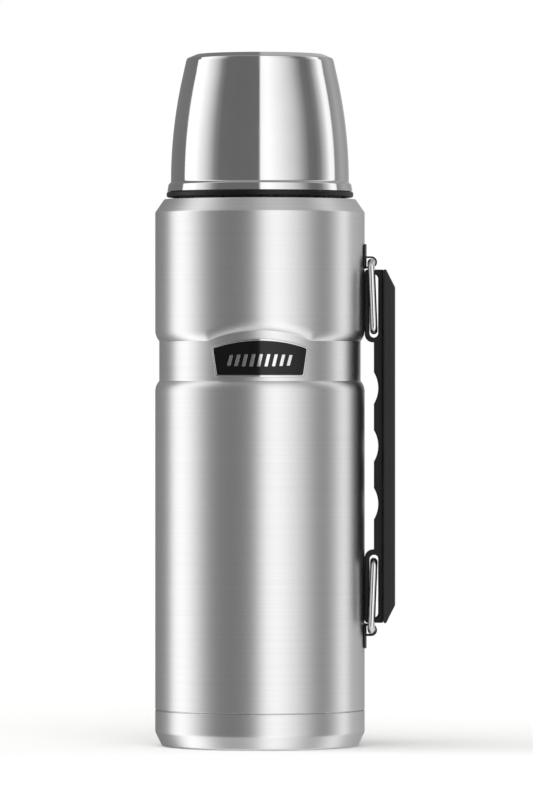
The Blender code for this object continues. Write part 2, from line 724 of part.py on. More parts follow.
def grip_lobe(way):
    """Corners of the lobe that holds a slot, at the top (way 1) or the bottom (-1), outer end first."""
    left = BODY_RADIUS + HANDLE_BODY_GAP
    end = HANDLE_MIDDLE + way * HANDLE_HALF
    inner = HANDLE_MIDDLE + way * LOBE_INNER_END
    round_end = GRIP_INNER_X - left - LOBE_FOOT
    corners = [
        (GRIP_OUTER_X, end, 0),
        (left, end, LOBE_ROUND),
        (left, inner, round_end),
        (GRIP_INNER_X, inner, 0),
    ]
    return corners if way > 0 else corners[::-1]


def slot_cutter(way):
    centre = HANDLE_MIDDLE + way * (SLOT_INNER_END + SLOT_LENGTH / 2)
    reach = (SLOT_LENGTH - SLOT_WIDTH) / 2
    half = math.pi
    upper = arc((SLOT_X, centre + reach), SLOT_WIDTH / 2, 0, half, 6)
    lower = arc((SLOT_X, centre - reach), SLOT_WIDTH / 2, half, 2 * half, 6)
    return extruded([*upper, *lower], GRIP_HALF_WIDTH + OVERSHOOT)


def tongue(clearance):
    """The rib on the grip's back, or with a clearance the groove for it in the cover."""
    wide = TONGUE_HALF_WIDTH + clearance
    tall = HANDLE_HALF - TONGUE_MARGIN + clearance
    low = (GRIP_OUTER_X - OVERSHOOT, -wide, HANDLE_MIDDLE - tall)
    high = (GRIP_OUTER_X + TONGUE_DEPTH + clearance, wide, HANDLE_MIDDLE + tall)
    return block(low, high)


def build_grip(plastic, pivot):
    outline = rounded([*grip_lobe(1), *scallops(), *grip_lobe(-1)])
    grip = add_piece("handle_grip", extruded(outline, GRIP_HALF_WIDTH), plastic)
    combine(grip, tongue(0.0), "UNION")
    combine(grip, slot_cutter(1), "DIFFERENCE")
    combine(grip, slot_cutter(-1), "DIFFERENCE")
    hang(grip, pivot)


def build_cover(rubber, pivot):
    outer = COVER_X + COVER_DEPTH
    shelf = outer - COVER_CHAMFER_DEPTH
    half = []
    for way in (1, -1):
        end = HANDLE_MIDDLE + way * HANDLE_HALF
        edge = end - way * COVER_CHAMFER_LENGTH
        corner = (shelf, end, COVER_SHELF_ROUND)
        half.append([(COVER_X, end, 0), corner, (outer, edge, COVER_CHAMFER_ROUND)])
    shape = extruded(rounded([*half[0], *half[1][::-1]]), COVER_HALF_WIDTH)
    bevel_outer_edges(shape, COVER_X)
    cover = add_piece("handle_cover", shape, rubber)
    combine(cover, tongue(GAP), "DIFFERENCE")
    hang(cover, pivot)


def bevel_outer_edges(shape, inner_x):
    """Rounds the edges of both side faces, apart from the one that lies on the grip."""
    edges = []
    for edge in shape.edges:
        first, second = edge.verts
        along_side = abs(first.co.y - second.co.y) < WELD
        on_grip = max(first.co.x, second.co.x) < inner_x + WELD
        if along_side and not on_grip:
            edges.append(edge)
    bmesh.ops.bevel(shape, geom=edges, offset=COVER_EDGE, segments=2, profile=0.5, affect="EDGES")


# Cup


def cup_wall(inset, steps, top=CUP_WALL_TOP):
    """The cup's tapering wall, from its bottom to a level: an arc that starts upright."""
    rise = CUP_WALL_TOP - CUP_WALL_BOTTOM
    radius = (rise**2 + CUP_TAPER**2) / (2 * CUP_TAPER)
    sweep = math.asin((top - CUP_WALL_BOTTOM) / radius)
    centre = (CUP_WALL_RADIUS - radius, CUP_WALL_BOTTOM)
    return arc(centre, radius - inset, 0, sweep, steps)


def build_cup_shell(steel, origin):
    wall_top = CUP_WALL_RADIUS - CUP_TAPER
    outside = [
        (CUP_RIM_RADIUS, RING_TOP + GAP),
        (CUP_RIM_RADIUS - CUP_RIM_TAPER, CUP_RIM_TOP),
        *cup_wall(0.0, 5),
        (wall_top - CUP_EDGE_INSET, CUP_TOP - CUP_BEVEL_HEIGHT),
        (wall_top - CUP_BEVEL_INSET, CUP_TOP),
        (0, CUP_TOP),
    ]
    inside = [
        (CUP_RIM_RADIUS - SHEET, RING_TOP + GAP),
        (CUP_RIM_RADIUS - CUP_RIM_TAPER - SHEET, CUP_RIM_TOP - SHEET),
        *cup_wall(SHEET, 5),
        (wall_top - CUP_EDGE_INSET - SHEET, CUP_TOP - CUP_BEVEL_HEIGHT - SHEET / 2),
        (wall_top - CUP_BEVEL_INSET, CUP_TOP - SHEET),
        (0, CUP_TOP - SHEET),
    ]
    add_piece("cup_shell", spun([*reversed(outside), *inside]), steel, origin)


def build_cup_liner(plastic, origin):
    """The cup's lining. A sleeve at its mouth carries the thread that holds the neck."""
    sleeve_top = RING_TOP + LINER_SLEEVE_HEIGHT
    sleeve_radius = cup_wall(SHEET + GAP, 1, sleeve_top)[-1][0]
    inset = SHEET + CUP_AIR_GAP
    ceiling = CUP_TOP - inset - CUP_BEVEL_HEIGHT
    highest = ceiling - LINER_CROWN
    outer_wall = [(r, z) for r, z in cup_wall(inset, 5) if sleeve_top + SHEET < z < highest]
    inner_wall = [(r - LINER_WALL, z) for r, z in outer_wall]
    outside = [
        (sleeve_radius, LINER_LOW),
        (sleeve_radius, sleeve_top - LINER_SLEEVE_TAPER),
        (outer_wall[0][0], sleeve_top),
        *outer_wall,
        (outer_wall[-1][0] - LINER_CROWN, ceiling),
        (0, ceiling),
    ]
    inside = [
        (LINER_BORE, LINER_LOW),
        (LINER_BORE, sleeve_top - LINER_SLEEVE_TAPER - LINER_SLEEVE_FLOOR),
        (inner_wall[0][0], sleeve_top - LINER_SLEEVE_FLOOR),
        *inner_wall,
        (inner_wall[-1][0] - LINER_INNER_CROWN, ceiling - LINER_WALL),
        (0, ceiling - LINER_WALL),
    ]
    liner = add_piece("cup_liner", spun([*reversed(outside), *inside]), plastic, origin)
    combine(liner, thread(LINER_BORE, LINER_BORE - THREAD_HEIGHT, CUP_THREAD_START), "UNION")


def build_cup_ring(rubber, origin):
    bore = NECK_RADIUS + CUP_RING_CLEARANCE
    corners = [
        (bore, RING_BOTTOM, 0),
        (RING_RADIUS, RING_BOTTOM, CUP_RING_LOWER_ROUND),
        (RING_RADIUS, RING_TOP, CUP_RING_UPPER_ROUND),
        (bore, RING_TOP, 0),
    ]
    add_piece("cup_ring", spun(rounded(corners)), rubber, origin)


# Stopper


def build_stopper_body(plastic, origin):
    """A threaded barrel, hollow from above, over a spigot that carries the seal."""
    bore = STOPPER_RADIUS - STOPPER_WALL
    spigot = SEAT_RADIUS - SEAL_WIDTH
    spigot_low = STOPPER_BOTTOM - SEAL_HEIGHT - 2 * GAP
    outline = [
        (0, STOPPER_BOTTOM),
        (RETAINER_BOSS + GAP, STOPPER_BOTTOM),
        (RETAINER_BOSS + GAP, spigot_low),
        (spigot, spigot_low),
        (spigot, STOPPER_BOTTOM),
        (STOPPER_RADIUS, STOPPER_BOTTOM),
        (STOPPER_RADIUS, STOPPER_TOP),
        (bore, STOPPER_TOP),
        (bore, STOPPER_BOTTOM + STOPPER_WALL),
        (0, STOPPER_BOTTOM + STOPPER_WALL),
    ]
    body = add_piece("stopper_body", spun(outline), plastic, origin)
    start = LIP_TOP - STOPPER_THREAD_DROP - THREAD_STEP
    combine(body, thread(STOPPER_RADIUS, STOPPER_RADIUS + THREAD_HEIGHT, start), "UNION")
    for way in (1, -1):
        near = way * (STOPPER_RADIUS - CHANNEL_DEPTH)
        far = way * (STOPPER_RADIUS + 2 * THREAD_HEIGHT)
        low = (-CHANNEL_WIDTH / 2, min(near, far), STOPPER_BOTTOM - OVERSHOOT)
        high = (CHANNEL_WIDTH / 2, max(near, far), LIP_TOP)
        combine(body, block(low, high), "DIFFERENCE")


def build_stopper_knob(plastic, origin):
    """The knob: a cap with grip ribs, and a collar that plugs into the barrel."""
    low = STOPPER_TOP + GAP
    radius = STOPPER_RADIUS + KNOB_OVERHANG
    collar = STOPPER_RADIUS - STOPPER_WALL - GAP
    inside = collar - KNOB_WALL
    corners = [
        (0, KNOB_TOP - KNOB_WALL, 0),
        (inside, KNOB_TOP - KNOB_WALL, 0),
        (inside, low - KNOB_COLLAR, 0),
        (collar, low - KNOB_COLLAR, 0),
        (collar, low, 0),
        (radius, low, KNOB_FOOT_ROUND),
        (radius, KNOB_TOP, KNOB_ROUND),
        (0, KNOB_TOP, 0),
    ]
    knob = add_piece("stopper_knob", spun(rounded(corners)), plastic, origin)
    rib_low = low + GRIP_RIB_LOW_MARGIN
    rib_high = KNOB_TOP - GRIP_RIB_HIGH_MARGIN
    ribs = bmesh.new()
    for index in range(GRIP_RIBS):
        turn = Matrix.Rotation(2 * math.pi * index / GRIP_RIBS, 4, "Z")
        place = Matrix.Translation((radius, 0, (rib_low + rib_high) / 2))
        bmesh.ops.create_cone(
            ribs,
            cap_ends=True,
            segments=6,
            radius1=GRIP_RIB_RADIUS,
            radius2=GRIP_RIB_RADIUS,
            depth=rib_high - rib_low,
            matrix=turn @ place,
        )
    combine(knob, ribs, "UNION")


def build_stopper_foam(foam, origin):
    radius = STOPPER_RADIUS - STOPPER_WALL - KNOB_WALL - 2 * GAP
    low = STOPPER_BOTTOM + STOPPER_WALL + GAP
    high = KNOB_TOP - KNOB_WALL - GAP
    outline = [(0, low), (radius, low), (radius, high), (0, high)]
    add_piece("stopper_foam", spun(outline), foam, origin)


def build_stopper_seal(silicone, origin):
    """The silicone ring that closes the mouth, tapered like its seat."""
    high = STOPPER_BOTTOM - GAP
    low = high - SEAL_HEIGHT
    slope = SEAT_WIDTH / SEAT_HEIGHT
    clear = RUN_GAP * math.hypot(1, slope)
    corners = [
        (SEAT_RADIUS - SEAL_WIDTH + GAP, low, 0),
        (SEAT_RADIUS + (low - SEAT_LOW) * slope - clear, low, SEAL_ROUND),
        (STOPPER_RADIUS, SEAT_LOW + (STOPPER_RADIUS + clear - SEAT_RADIUS) / slope, 0),
        (STOPPER_RADIUS, high, 0),
        (SEAT_RADIUS - SEAL_WIDTH + GAP, high, 0),
    ]
    add_piece("stopper_seal", spun(rounded(corners)), silicone, origin)


def build_seal_retainer(plastic, origin):
    """The disc that keeps the seal on, with a boss pressed into the spigot."""
    high = STOPPER_BOTTOM - SEAL_HEIGHT - 3 * GAP
    low = high - RETAINER_HEIGHT
    radius = SEAT_RADIUS - 2 * RUN_GAP
    corners = [
        (0, low, 0),
        (radius, low, RETAINER_ROUND),
        (radius, high, 0),
        (RETAINER_BOSS, high, 0),
        (RETAINER_BOSS, STOPPER_BOTTOM - GAP, 0),
        (0, STOPPER_BOTTOM - GAP, 0),
    ]
    add_piece("seal_retainer", spun(rounded(corners)), plastic, origin)


def main():
    clear_scene()
    brushed = finish("brushed_steel", (0.56, 0.55, 0.53), 1.0, 0.34)
    polished = finish("polished_steel", (0.62, 0.61, 0.60), 1.0, 0.12)
    plain_steel = finish("vessel_steel", (0.55, 0.54, 0.52), 1.0, 0.28)
    black = finish("black_plastic", (0.012, 0.012, 0.013), 0.0, 0.42)
    soft_black = finish("soft_black_cover", (0.030, 0.030, 0.032), 0.0, 0.55)
    coated = finish("black_coated_steel", (0.014, 0.014, 0.015), 0.2, 0.40)
    copper = finish("copper_foil", (0.72, 0.36, 0.22), 1.0, 0.25)
    solder = finish("sealing_solder", (0.42, 0.42, 0.43), 1.0, 0.45)
    pill = finish("getter_alloy", (0.20, 0.19, 0.18), 1.0, 0.60)
    liner = finish("grey_liner_plastic", (0.16, 0.16, 0.165), 0.0, 0.38)
    silicone = finish("silicone", (0.45, 0.45, 0.44), 0.0, 0.50)
    foam = finish("foam", (0.80, 0.79, 0.74), 0.0, 0.90)
    enamel = finish("badge_enamel", (0.008, 0.008, 0.009), 0.0, 0.15)

    build_outer_shell(brushed)
    build_base_cap(brushed)
    build_outer_bottom(plain_steel)
    build_vacuum_plug(solder)
    build_inner_vessel(plain_steel)
    build_inner_bottom(plain_steel)
    build_foil(copper)
    build_getter(pill, plain_steel)
    build_badge(polished, enamel)
    build_brackets(coated)

    add_bail("upper_bail", UPPER_EYELET, -1, polished)
    add_bail("lower_bail", LOWER_EYELET, 1, polished)
    pivot = add_pivot("handle_pivot", (SLOT_X, 0, HANDLE_MIDDLE + BAR_LEVEL))
    build_grip(black, pivot)
    build_cover(soft_black, pivot)

    cup_origin = (0, 0, RING_BOTTOM)
    build_cup_shell(polished, cup_origin)
    build_cup_liner(liner, cup_origin)
    build_cup_ring(black, cup_origin)

    stopper_origin = (0, 0, STOPPER_BOTTOM)
    build_stopper_body(black, stopper_origin)
    build_stopper_knob(black, stopper_origin)
    build_stopper_foam(foam, stopper_origin)
    build_stopper_seal(silicone, stopper_origin)
    build_seal_retainer(liner, stopper_origin)


main()
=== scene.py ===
"""Looks of a vacuum flask with a screw-on cup, a screw stopper and a handle on two wire bails.

The frame is in metres, +Z up, with the handle on +X and the badge facing -Y. Lengths below are in
millimetres: a piece takes its place from the frame's own nodes and its finer sizes, such as fillets and
sheet, from the fields of its class, and becomes metres when its mesh is made.
"""

import json
import logging
import math
from dataclasses import dataclass
from enum import Enum
from typing import Callable, Optional, Sequence

import bmesh
import bpy
import numpy as np
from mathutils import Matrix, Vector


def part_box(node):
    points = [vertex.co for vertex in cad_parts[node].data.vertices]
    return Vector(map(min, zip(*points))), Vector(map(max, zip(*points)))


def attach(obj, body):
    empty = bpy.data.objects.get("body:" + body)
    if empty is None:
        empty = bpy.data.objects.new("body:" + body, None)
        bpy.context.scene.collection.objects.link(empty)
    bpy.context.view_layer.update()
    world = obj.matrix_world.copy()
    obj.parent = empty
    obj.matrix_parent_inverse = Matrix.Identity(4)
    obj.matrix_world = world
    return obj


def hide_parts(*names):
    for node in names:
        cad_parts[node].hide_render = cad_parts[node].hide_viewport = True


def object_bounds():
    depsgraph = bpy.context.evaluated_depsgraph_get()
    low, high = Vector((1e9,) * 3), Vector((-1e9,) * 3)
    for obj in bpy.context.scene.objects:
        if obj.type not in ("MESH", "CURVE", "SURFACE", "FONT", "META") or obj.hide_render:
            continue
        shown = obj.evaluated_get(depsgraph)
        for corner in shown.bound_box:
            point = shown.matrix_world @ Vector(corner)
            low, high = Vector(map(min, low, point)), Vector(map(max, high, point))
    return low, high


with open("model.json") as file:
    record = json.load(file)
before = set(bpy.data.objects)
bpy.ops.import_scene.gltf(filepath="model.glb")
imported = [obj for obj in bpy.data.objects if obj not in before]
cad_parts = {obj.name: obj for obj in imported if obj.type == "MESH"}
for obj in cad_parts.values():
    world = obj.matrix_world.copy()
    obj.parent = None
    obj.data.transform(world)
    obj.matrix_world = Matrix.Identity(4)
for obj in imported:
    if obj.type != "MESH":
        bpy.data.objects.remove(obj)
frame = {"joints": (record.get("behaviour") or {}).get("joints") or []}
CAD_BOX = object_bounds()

MM = 0.001
GAP = 0.3  # the play between neighbouring pieces
HALF_TURN = math.pi
FULL_TURN = 2 * math.pi
QUARTER = math.pi / 2
FRONT = 3 * QUARTER  # the azimuth of -Y
SHARP_ANGLE = math.radians(40)
log = logging.getLogger("flask")

Corner = tuple[float, float, float]
Span = tuple[float, float]
Pair = tuple[np.ndarray, np.ndarray]
Relief = Callable[[np.ndarray, np.ndarray, np.ndarray], Pair]
Place = Callable[[np.ndarray], np.ndarray]


class Body(Enum):
    """The frame's bodies."""

    FLASK = "flask"
    UPPER_WIRE = "upper_wire"
    LOWER_WIRE = "lower_wire"
    HANDLE = "handle"
    CUP_LIFTER = "cup_lifter"
    CUP = "cup"
    STOPPER_LIFTER = "stopper_lifter"
    STOPPER = "stopper"


class Slot(Enum):
    """The record's material slots."""

    BRUSHED_STEEL = "brushed_steel"
    POLISHED_STEEL = "polished_steel"
    POLISHED_WIRE = "polished_wire"
    VESSEL_STEEL = "vessel_steel"
    BLACK_PLASTIC = "black_plastic"
    SOFT_COVER = "soft_black_cover"
    COATED_STEEL = "black_coated_steel"
    COPPER_FOIL = "copper_foil"
    SOLDER = "sealing_solder"
    GETTER = "getter_alloy"
    LINER = "grey_liner_plastic"
    SILICONE = "silicone"
    FOAM = "foam"
    ENAMEL = "badge_enamel"


class End(Enum):
    """Which end of the handle something is at, with its way along Z."""

    UPPER = 1
    LOWER = -1


class Grain(Enum):
    """The kinds of pattern."""

    NOISE = "noise"
    CELLS = "F1"
    ROUND_CELLS = "SMOOTH_F1"


# Places from the frame


def corners_of(node: str) -> np.ndarray:
    """A node's lowest and highest corners, a (2, 3) array in millimetres."""
    return np.array([list(corner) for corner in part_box(node)]) / MM


def span_of(node: str) -> Corner:
    """A turned node's lowest level, highest level and outer radius."""
    low, high = corners_of(node)
    return float(low[2]), float(high[2]), float(high[1])


def joint_at(name: str) -> Span:
    """A joint's place as (x, level)."""
    place = {joint["name"]: joint for joint in frame["joints"]}[name]["pos_m"]
    return place[0] / MM, place[2] / MM


# Shapes


@dataclass
class Shape:
    """Points in millimetres, an (n, 3) array, with the faces' corners in one run and each face's size."""

    points: np.ndarray
    corners: np.ndarray
    sizes: np.ndarray

    def __add__(self, other: "Shape") -> "Shape":
        """Both shapes as one."""
        return Shape(np.concatenate([self.points, other.points]),
                     np.concatenate([self.corners, other.corners + len(self.points)]),
                     np.concatenate([self.sizes, other.sizes]))

    def moved(self, place: Place) -> "Shape":
        """The same faces on points that a function has moved."""
        return Shape(place(self.points), self.corners, self.sizes)

    def mesh(self, name: str, scale: float = 1.0) -> bpy.types.Mesh:
        """The shape as a mesh.

        Args:
            name: The mesh's name.
            scale: What the points are multiplied by.

        Returns:
            The mesh.
        """
        mesh = bpy.data.meshes.new(name)
        mesh.vertices.add(len(self.points))
        mesh.vertices.foreach_set("co", (self.points * scale).ravel())
        mesh.loops.add(len(self.corners))
        mesh.loops.foreach_set("vertex_index", self.corners.astype(np.int32))
        mesh.polygons.add(len(self.sizes))
        starts = np.cumsum(self.sizes) - self.sizes
        mesh.polygons.foreach_set("loop_start", starts.astype(np.int32))
        mesh.update(calc_edges=True)
        return mesh

    def worked(self, edit: Callable[[bmesh.types.BMesh], None]) -> "Shape":
        """The shape after Blender's mesh tools have changed it and turned its faces outwards.

        Args:
            edit: Changes the bmesh.

        Returns:
            The new shape.
        """
        mesh = self.mesh("scratch")
        work = bmesh.new()
        work.from_mesh(mesh)
        edit(work)
        bmesh.ops.recalc_face_normals(work, faces=work.faces)
        work.to_mesh(mesh)
        work.free()
        points = np.empty(len(mesh.vertices) * 3, np.float32)
        corners = np.empty(len(mesh.loops), np.int32)
        sizes = np.empty(len(mesh.polygons), np.int32)
        mesh.vertices.foreach_get("co", points)
        mesh.loops.foreach_get("vertex_index", corners)
        mesh.polygons.foreach_get("loop_total", sizes)
        bpy.data.meshes.remove(mesh)
        return Shape(points.reshape(-1, 3).astype(float), corners, sizes)


def unit(vectors: np.ndarray) -> np.ndarray:
    """Each row scaled to length 1."""
    return vectors / np.maximum(np.linalg.norm(vectors, axis=-1, keepdims=True), 1e-12)


def eased(share: np.ndarray) -> np.ndarray:
    """A share held from 0 to 1 and eased at both ends: 3 s squared less 2 s cubed."""
    held = np.clip(share, 0.0, 1.0)
    return held * held * (3 - 2 * held)


def arc(centre: Sequence[float], radius: float, first: float, last: float, steps: int) -> np.ndarray:
    """An arc's points: the centre plus radius times (cosine, sine) of evenly spaced angles.

    Args:
        centre: The arc's centre (a, b).
        radius: Its radius.
        first: The first angle in radians.
        last: The last angle in radians.
        steps: The number of steps between them.

    Returns:
        A (steps + 1, 2) array.
    """
    angles = np.linspace(first, last, steps + 1)
    return np.array(centre) + radius * np.stack([np.cos(angles), np.sin(angles)], axis=1)


def rounded(corners: Sequence[Sequence[float]], steps: int = 6) -> np.ndarray:
    """An outline whose corners are arcs tangent to both sides.

    The arc's centre lies on the corner's bisector, fillet / sin(half the corner's angle) away. Its points
    turn evenly from the first tangent point to the last, as a sine-weighted mean of the two.

    Args:
        corners: Rows (a, b, fillet) in order round the outline.
        steps: The number of steps in each arc.

    Returns:
        An (n, 2) array. A corner with no fillet stays one point.
    """
    table = np.array(corners, float)
    points, fillets = table[:, :2], table[:, 2:]
    back = unit(np.roll(points, 1, axis=0) - points)
    ahead = unit(np.roll(points, -1, axis=0) - points)
    half = np.arccos(np.clip((back * ahead).sum(axis=1, keepdims=True), -1, 1)) / 2
    half = np.clip(half, 1e-3, QUARTER - 1e-3)
    centre = -unit(back + ahead) * fillets / np.sin(half)
    first = centre + back * fillets / np.tan(half)
    last = centre + ahead * fillets / np.tan(half)
    sweep = HALF_TURN - 2 * half
    share = np.linspace(0, 1, steps + 1)[:, None, None]
    spokes = (np.sin((1 - share) * sweep) * first + np.sin(share * sweep) * last) / np.sin(sweep)
    arcs = (points - centre + spokes).swapaxes(0, 1)
    keep = np.broadcast_to(fillets > 0, arcs.shape[:2]).copy()
    keep[:, 0] = True
    return arcs[keep]


def counter_clockwise(outline: np.ndarray) -> np.ndarray:
    """The outline, turned round if its signed area is negative."""
    following = np.roll(outline, -1, axis=0)
    area = (outline[:, 0] * following[:, 1] - outline[:, 1] * following[:, 0]).sum()
    return outline if area > 0 else outline[::-1]


@dataclass(frozen=True)
class Fineness:
    """How closely the points of an outline lie, with a finer step between two levels."""

    step: float = 6.0
    fine_step: float = 6.0
    fine_from: float = 0.0
    fine_to: float = 0.0
    margin: float = 0.12

    def divided(self, outline: np.ndarray, closed: bool) -> np.ndarray:
        """Adds points along the outline's sides.

        A long side gets a point a margin from each end, so that shading stays flat along it. Then each side
        is cut into equal parts no longer than its step.

        Args:
            outline: (n, 2) points of radius and level.
            closed: Whether the last point joins the first.

        Returns:
            The outline with more points.
        """
        following = np.roll(outline, -1, axis=0)
        length = np.linalg.norm(following - outline, axis=1)
        long = length > 4 * self.margin
        long[-1] &= closed
        share = (self.margin / np.maximum(length, self.margin))[:, None]
        rows = np.stack([outline, outline + (following - outline) * share,
                         following - (following - outline) * share], axis=1)
        outline = rows[np.stack([np.ones_like(long), long, long], axis=1)]
        following = np.roll(outline, -1, axis=0)
        length = np.linalg.norm(following - outline, axis=1)
        level = (outline[:, 1] + following[:, 1]) / 2
        fine = (level > self.fine_from) & (level < self.fine_to)
        count = np.ceil(length / np.where(fine, self.fine_step, self.step)).astype(int).clip(1)
        if not closed:
            count[-1] = 1
        side = np.repeat(np.arange(len(outline)), count)
        part = np.arange(count.sum()) - np.repeat(np.cumsum(count) - count, count)
        return outline[side] + (following - outline)[side] * (part / count[side])[:, None]


def grid_shape(grid: np.ndarray, close_rows: bool) -> Shape:
    """The faces between neighbouring points of a grid whose columns close.

    A row whose points all coincide is a pole: it becomes one point, and the faces there triangles.

    Args:
        grid: (rows, columns, 3) points.
        close_rows: Whether the last row joins the first.

    Returns:
        The shape. Its faces point along (column direction) x (row direction).
    """
    rows, columns = grid.shape[:2]
    index = np.arange(rows * columns).reshape(rows, columns)
    poles = np.ptp(grid, axis=1).max(axis=1) < 1e-6
    index[poles] = index[poles, :1]
    up = np.roll(index, -1, axis=0)
    across = np.roll(index, -1, axis=1)
    quads = np.stack([index, across, np.roll(up, -1, axis=1), up], axis=2)
    quads = quads[: rows if close_rows else rows - 1].reshape(-1, 4)
    used, renumbered = np.unique(quads, return_inverse=True)
    quads = renumbered.reshape(-1, 4)
    at_start = quads[:, 0] == quads[:, 1]
    at_end = quads[:, 2] == quads[:, 3]
    parts = [quads[~at_start & ~at_end], quads[at_start][:, 1:], quads[at_end][:, :3]]
    return Shape(grid.reshape(-1, 3)[used], np.concatenate([part.ravel() for part in parts]),
                 np.concatenate([np.full(len(part), part.shape[1]) for part in parts]))


def turned(outline: np.ndarray, fineness: Fineness = Fineness(), columns: int = 256,
           relief: Optional[Relief] = None) -> Shape:
    """The solid that a half section sweeps about the flask's axis.

    A point at radius r and level z stands at (r cos a, r sin a, z) for each azimuth a.

    Args:
        outline: (n, 2) points of radius and level. It is closed, unless it starts and ends on the axis.
        fineness: How closely the outline is divided.
        columns: The number of azimuths.
        relief: Moves the points: radius, azimuth and level in, radius and level out.

    Returns:
        The closed shape, its faces outwards.
    """
    outline = counter_clockwise(outline)
    on_axis = np.flatnonzero(outline[:, 0] < 1e-9)
    closed = not len(on_axis)
    if not closed:
        gap = np.flatnonzero(np.isin((on_axis + 1) % len(outline), on_axis))[0]
        outline = np.roll(outline, -(on_axis[gap] + 1), axis=0)
    outline = fineness.divided(outline, closed)
    azimuth = np.broadcast_to(np.arange(columns) * FULL_TURN / columns, (len(outline), columns))
    radius = np.repeat(outline[:, :1], columns, axis=1)
    level = np.repeat(outline[:, 1:], columns, axis=1)
    if relief:
        radius, level = relief(radius, azimuth, level)
    return grid_shape(np.stack([radius * np.cos(azimuth), radius * np.sin(azimuth), level], axis=2), closed)


def rectangle(half: float, low: float, high: float, corner: float, steps: int = 6) -> np.ndarray:
    """An outline of a rectangle with round corners, from -half to half and from low to high."""
    return rounded([(half, low, corner), (half, high, corner), (-half, high, corner), (-half, low, corner)],
                   steps)


def disc(node: str, edge: float, columns: int) -> Shape:
    """A plain disc in a node's place, its edges rounded."""
    low, high, radius = span_of(node)
    return turned(rounded([(0, low, 0), (radius, low, edge), (radius, high, edge), (0, high, 0)]),
                  columns=columns)


def swept(path: np.ndarray, across: np.ndarray, radius: float, sides: int = 24) -> Shape:
    """A round wire along a closed flat path.

    Round each path point, the wire's points are radius times (cosine of the angle along the path's flat
    normal plus sine along the normal within the flat).

    Args:
        path: (n, 3) points of the wire's centre line.
        across: The unit normal of the plane that the path lies in.
        radius: The wire's radius.
        sides: The number of points round it.

    Returns:
        The closed shape, its faces outwards.
    """
    along = unit(np.roll(path, -1, axis=0) - np.roll(path, 1, axis=0))
    angle = (np.arange(sides) * FULL_TURN / sides)[:, None, None]
    grid = path + radius * (np.cos(angle) * across + np.sin(angle) * np.cross(along, across))
    return grid_shape(grid, True).worked(lambda work: None)


def carried(outline: np.ndarray, section: np.ndarray) -> Shape:
    """A section carried round a flat outline.

    Each section point (inset, depth) stands inset inwards from the outline, along the mean of the two sides'
    normals divided by the cosine of half their turn, and depth along the third axis.

    Args:
        outline: (n, 2) closed outline with its material on the left.
        section: (m, 2) rows of inset and depth.

    Returns:
        The shape, with points (a, b, depth).
    """
    side = unit(np.roll(outline, -1, axis=0) - outline)
    normal = np.stack([-side[:, 1], side[:, 0]], axis=1)
    mitre = unit(normal + np.roll(normal, 1, axis=0))
    mitre = mitre / np.clip((mitre * normal).sum(axis=1, keepdims=True), 0.4, 1)
    flat = outline + section[:, :1, None] * mitre
    depth = np.broadcast_to(section[:, 1:, None], (*flat.shape[:2], 1))
    return grid_shape(np.concatenate([flat, depth], axis=2), False)


@dataclass(frozen=True)
class Slab:
    """A plate cut to an outline, perhaps with holes, whose rims are rounded on both faces.

    With slices above 0, its faces are cut along the first axis this far apart, so that it can be bent. Spans
    are the parts of the rim between its rounded edges.
    """

    low: float
    high: float
    fillet: float
    steps: int = 5
    support: float = 0.1
    spans: int = 1
    slices: float = 0.0

    def section(self) -> np.ndarray:
        """The rim's section from the low face to the high one: quarter circles with a straight between.

        Returns:
            (n, 2) points of inset and depth.
        """
        angle = np.linspace(0, QUARTER, self.steps + 1)
        inset = np.append(self.fillet + self.support, self.fillet * (1 - np.sin(angle)))
        rise = np.append(0, self.fillet * (1 - np.cos(angle)))
        lower = np.stack([inset, self.low + rise], axis=1)
        upper = np.stack([inset, self.high - rise], axis=1)
        between = np.linspace(self.low + self.fillet, self.high - self.fillet, self.spans + 1)[1:-1]
        straight = np.stack([np.zeros_like(between), between], axis=1)
        return np.concatenate([lower, straight, upper[::-1]])

    def cut(self, outer: np.ndarray, holes: Sequence[np.ndarray] = ()) -> Shape:
        """The plate's closed shape.

        Args:
            outer: (n, 2) outline.
            holes: Outlines cut out of it.

        Returns:
            The shape, with points (a, b, depth).
        """
        rims = carried(counter_clockwise(outer), self.section())
        for hole in holes:
            rims = rims + carried(counter_clockwise(hole)[::-1], self.section())
        first, last = rims.points[:, 0].min(), rims.points[:, 0].max()
        places = np.arange(first + self.slices, last, self.slices) if self.slices else ()
        return rims.worked(lambda work: self.fill(work, places))

    def fill(self, work: bmesh.types.BMesh, places: Sequence[float]) -> None:
        """Closes both faces between the rims and cuts the slices.

        Args:
            work: The rims, open at the low and the high depth.
            places: Where the slices are cut, along the first axis.
        """
        open_edges = [edge for edge in work.edges if edge.is_boundary]
        middle = (self.low + self.high) / 2
        for below in (True, False):
            rim = [edge for edge in open_edges if (edge.verts[0].co.z < middle) == below]
            bmesh.ops.triangle_fill(work, use_beauty=True, edges=rim, normal=(0, 0, -1 if below else 1))
        for place in places:
            everything = [*work.verts, *work.edges, *work.faces]
            bmesh.ops.bisect_plane(work, geom=everything, plane_co=(place, 0, 0), plane_no=(1, 0, 0))


@dataclass(frozen=True)
class RoundWall:
    """Bends a plate round the flask."""

    radius: float
    facing: float

    def __call__(self, points: np.ndarray) -> np.ndarray:
        """Bends (distance round the wall, level, depth): the azimuth is facing plus distance over radius."""
        angle = self.facing + points[:, 0] / self.radius
        reach = self.radius + points[:, 2]
        return np.stack([reach * np.cos(angle), reach * np.sin(angle), points[:, 1]], axis=1)


def upright(points: np.ndarray) -> np.ndarray:
    """Stands a plate of (x, level, depth) points up, with its depth along Y."""
    return np.stack([points[:, 0], points[:, 2], points[:, 1]], axis=1)


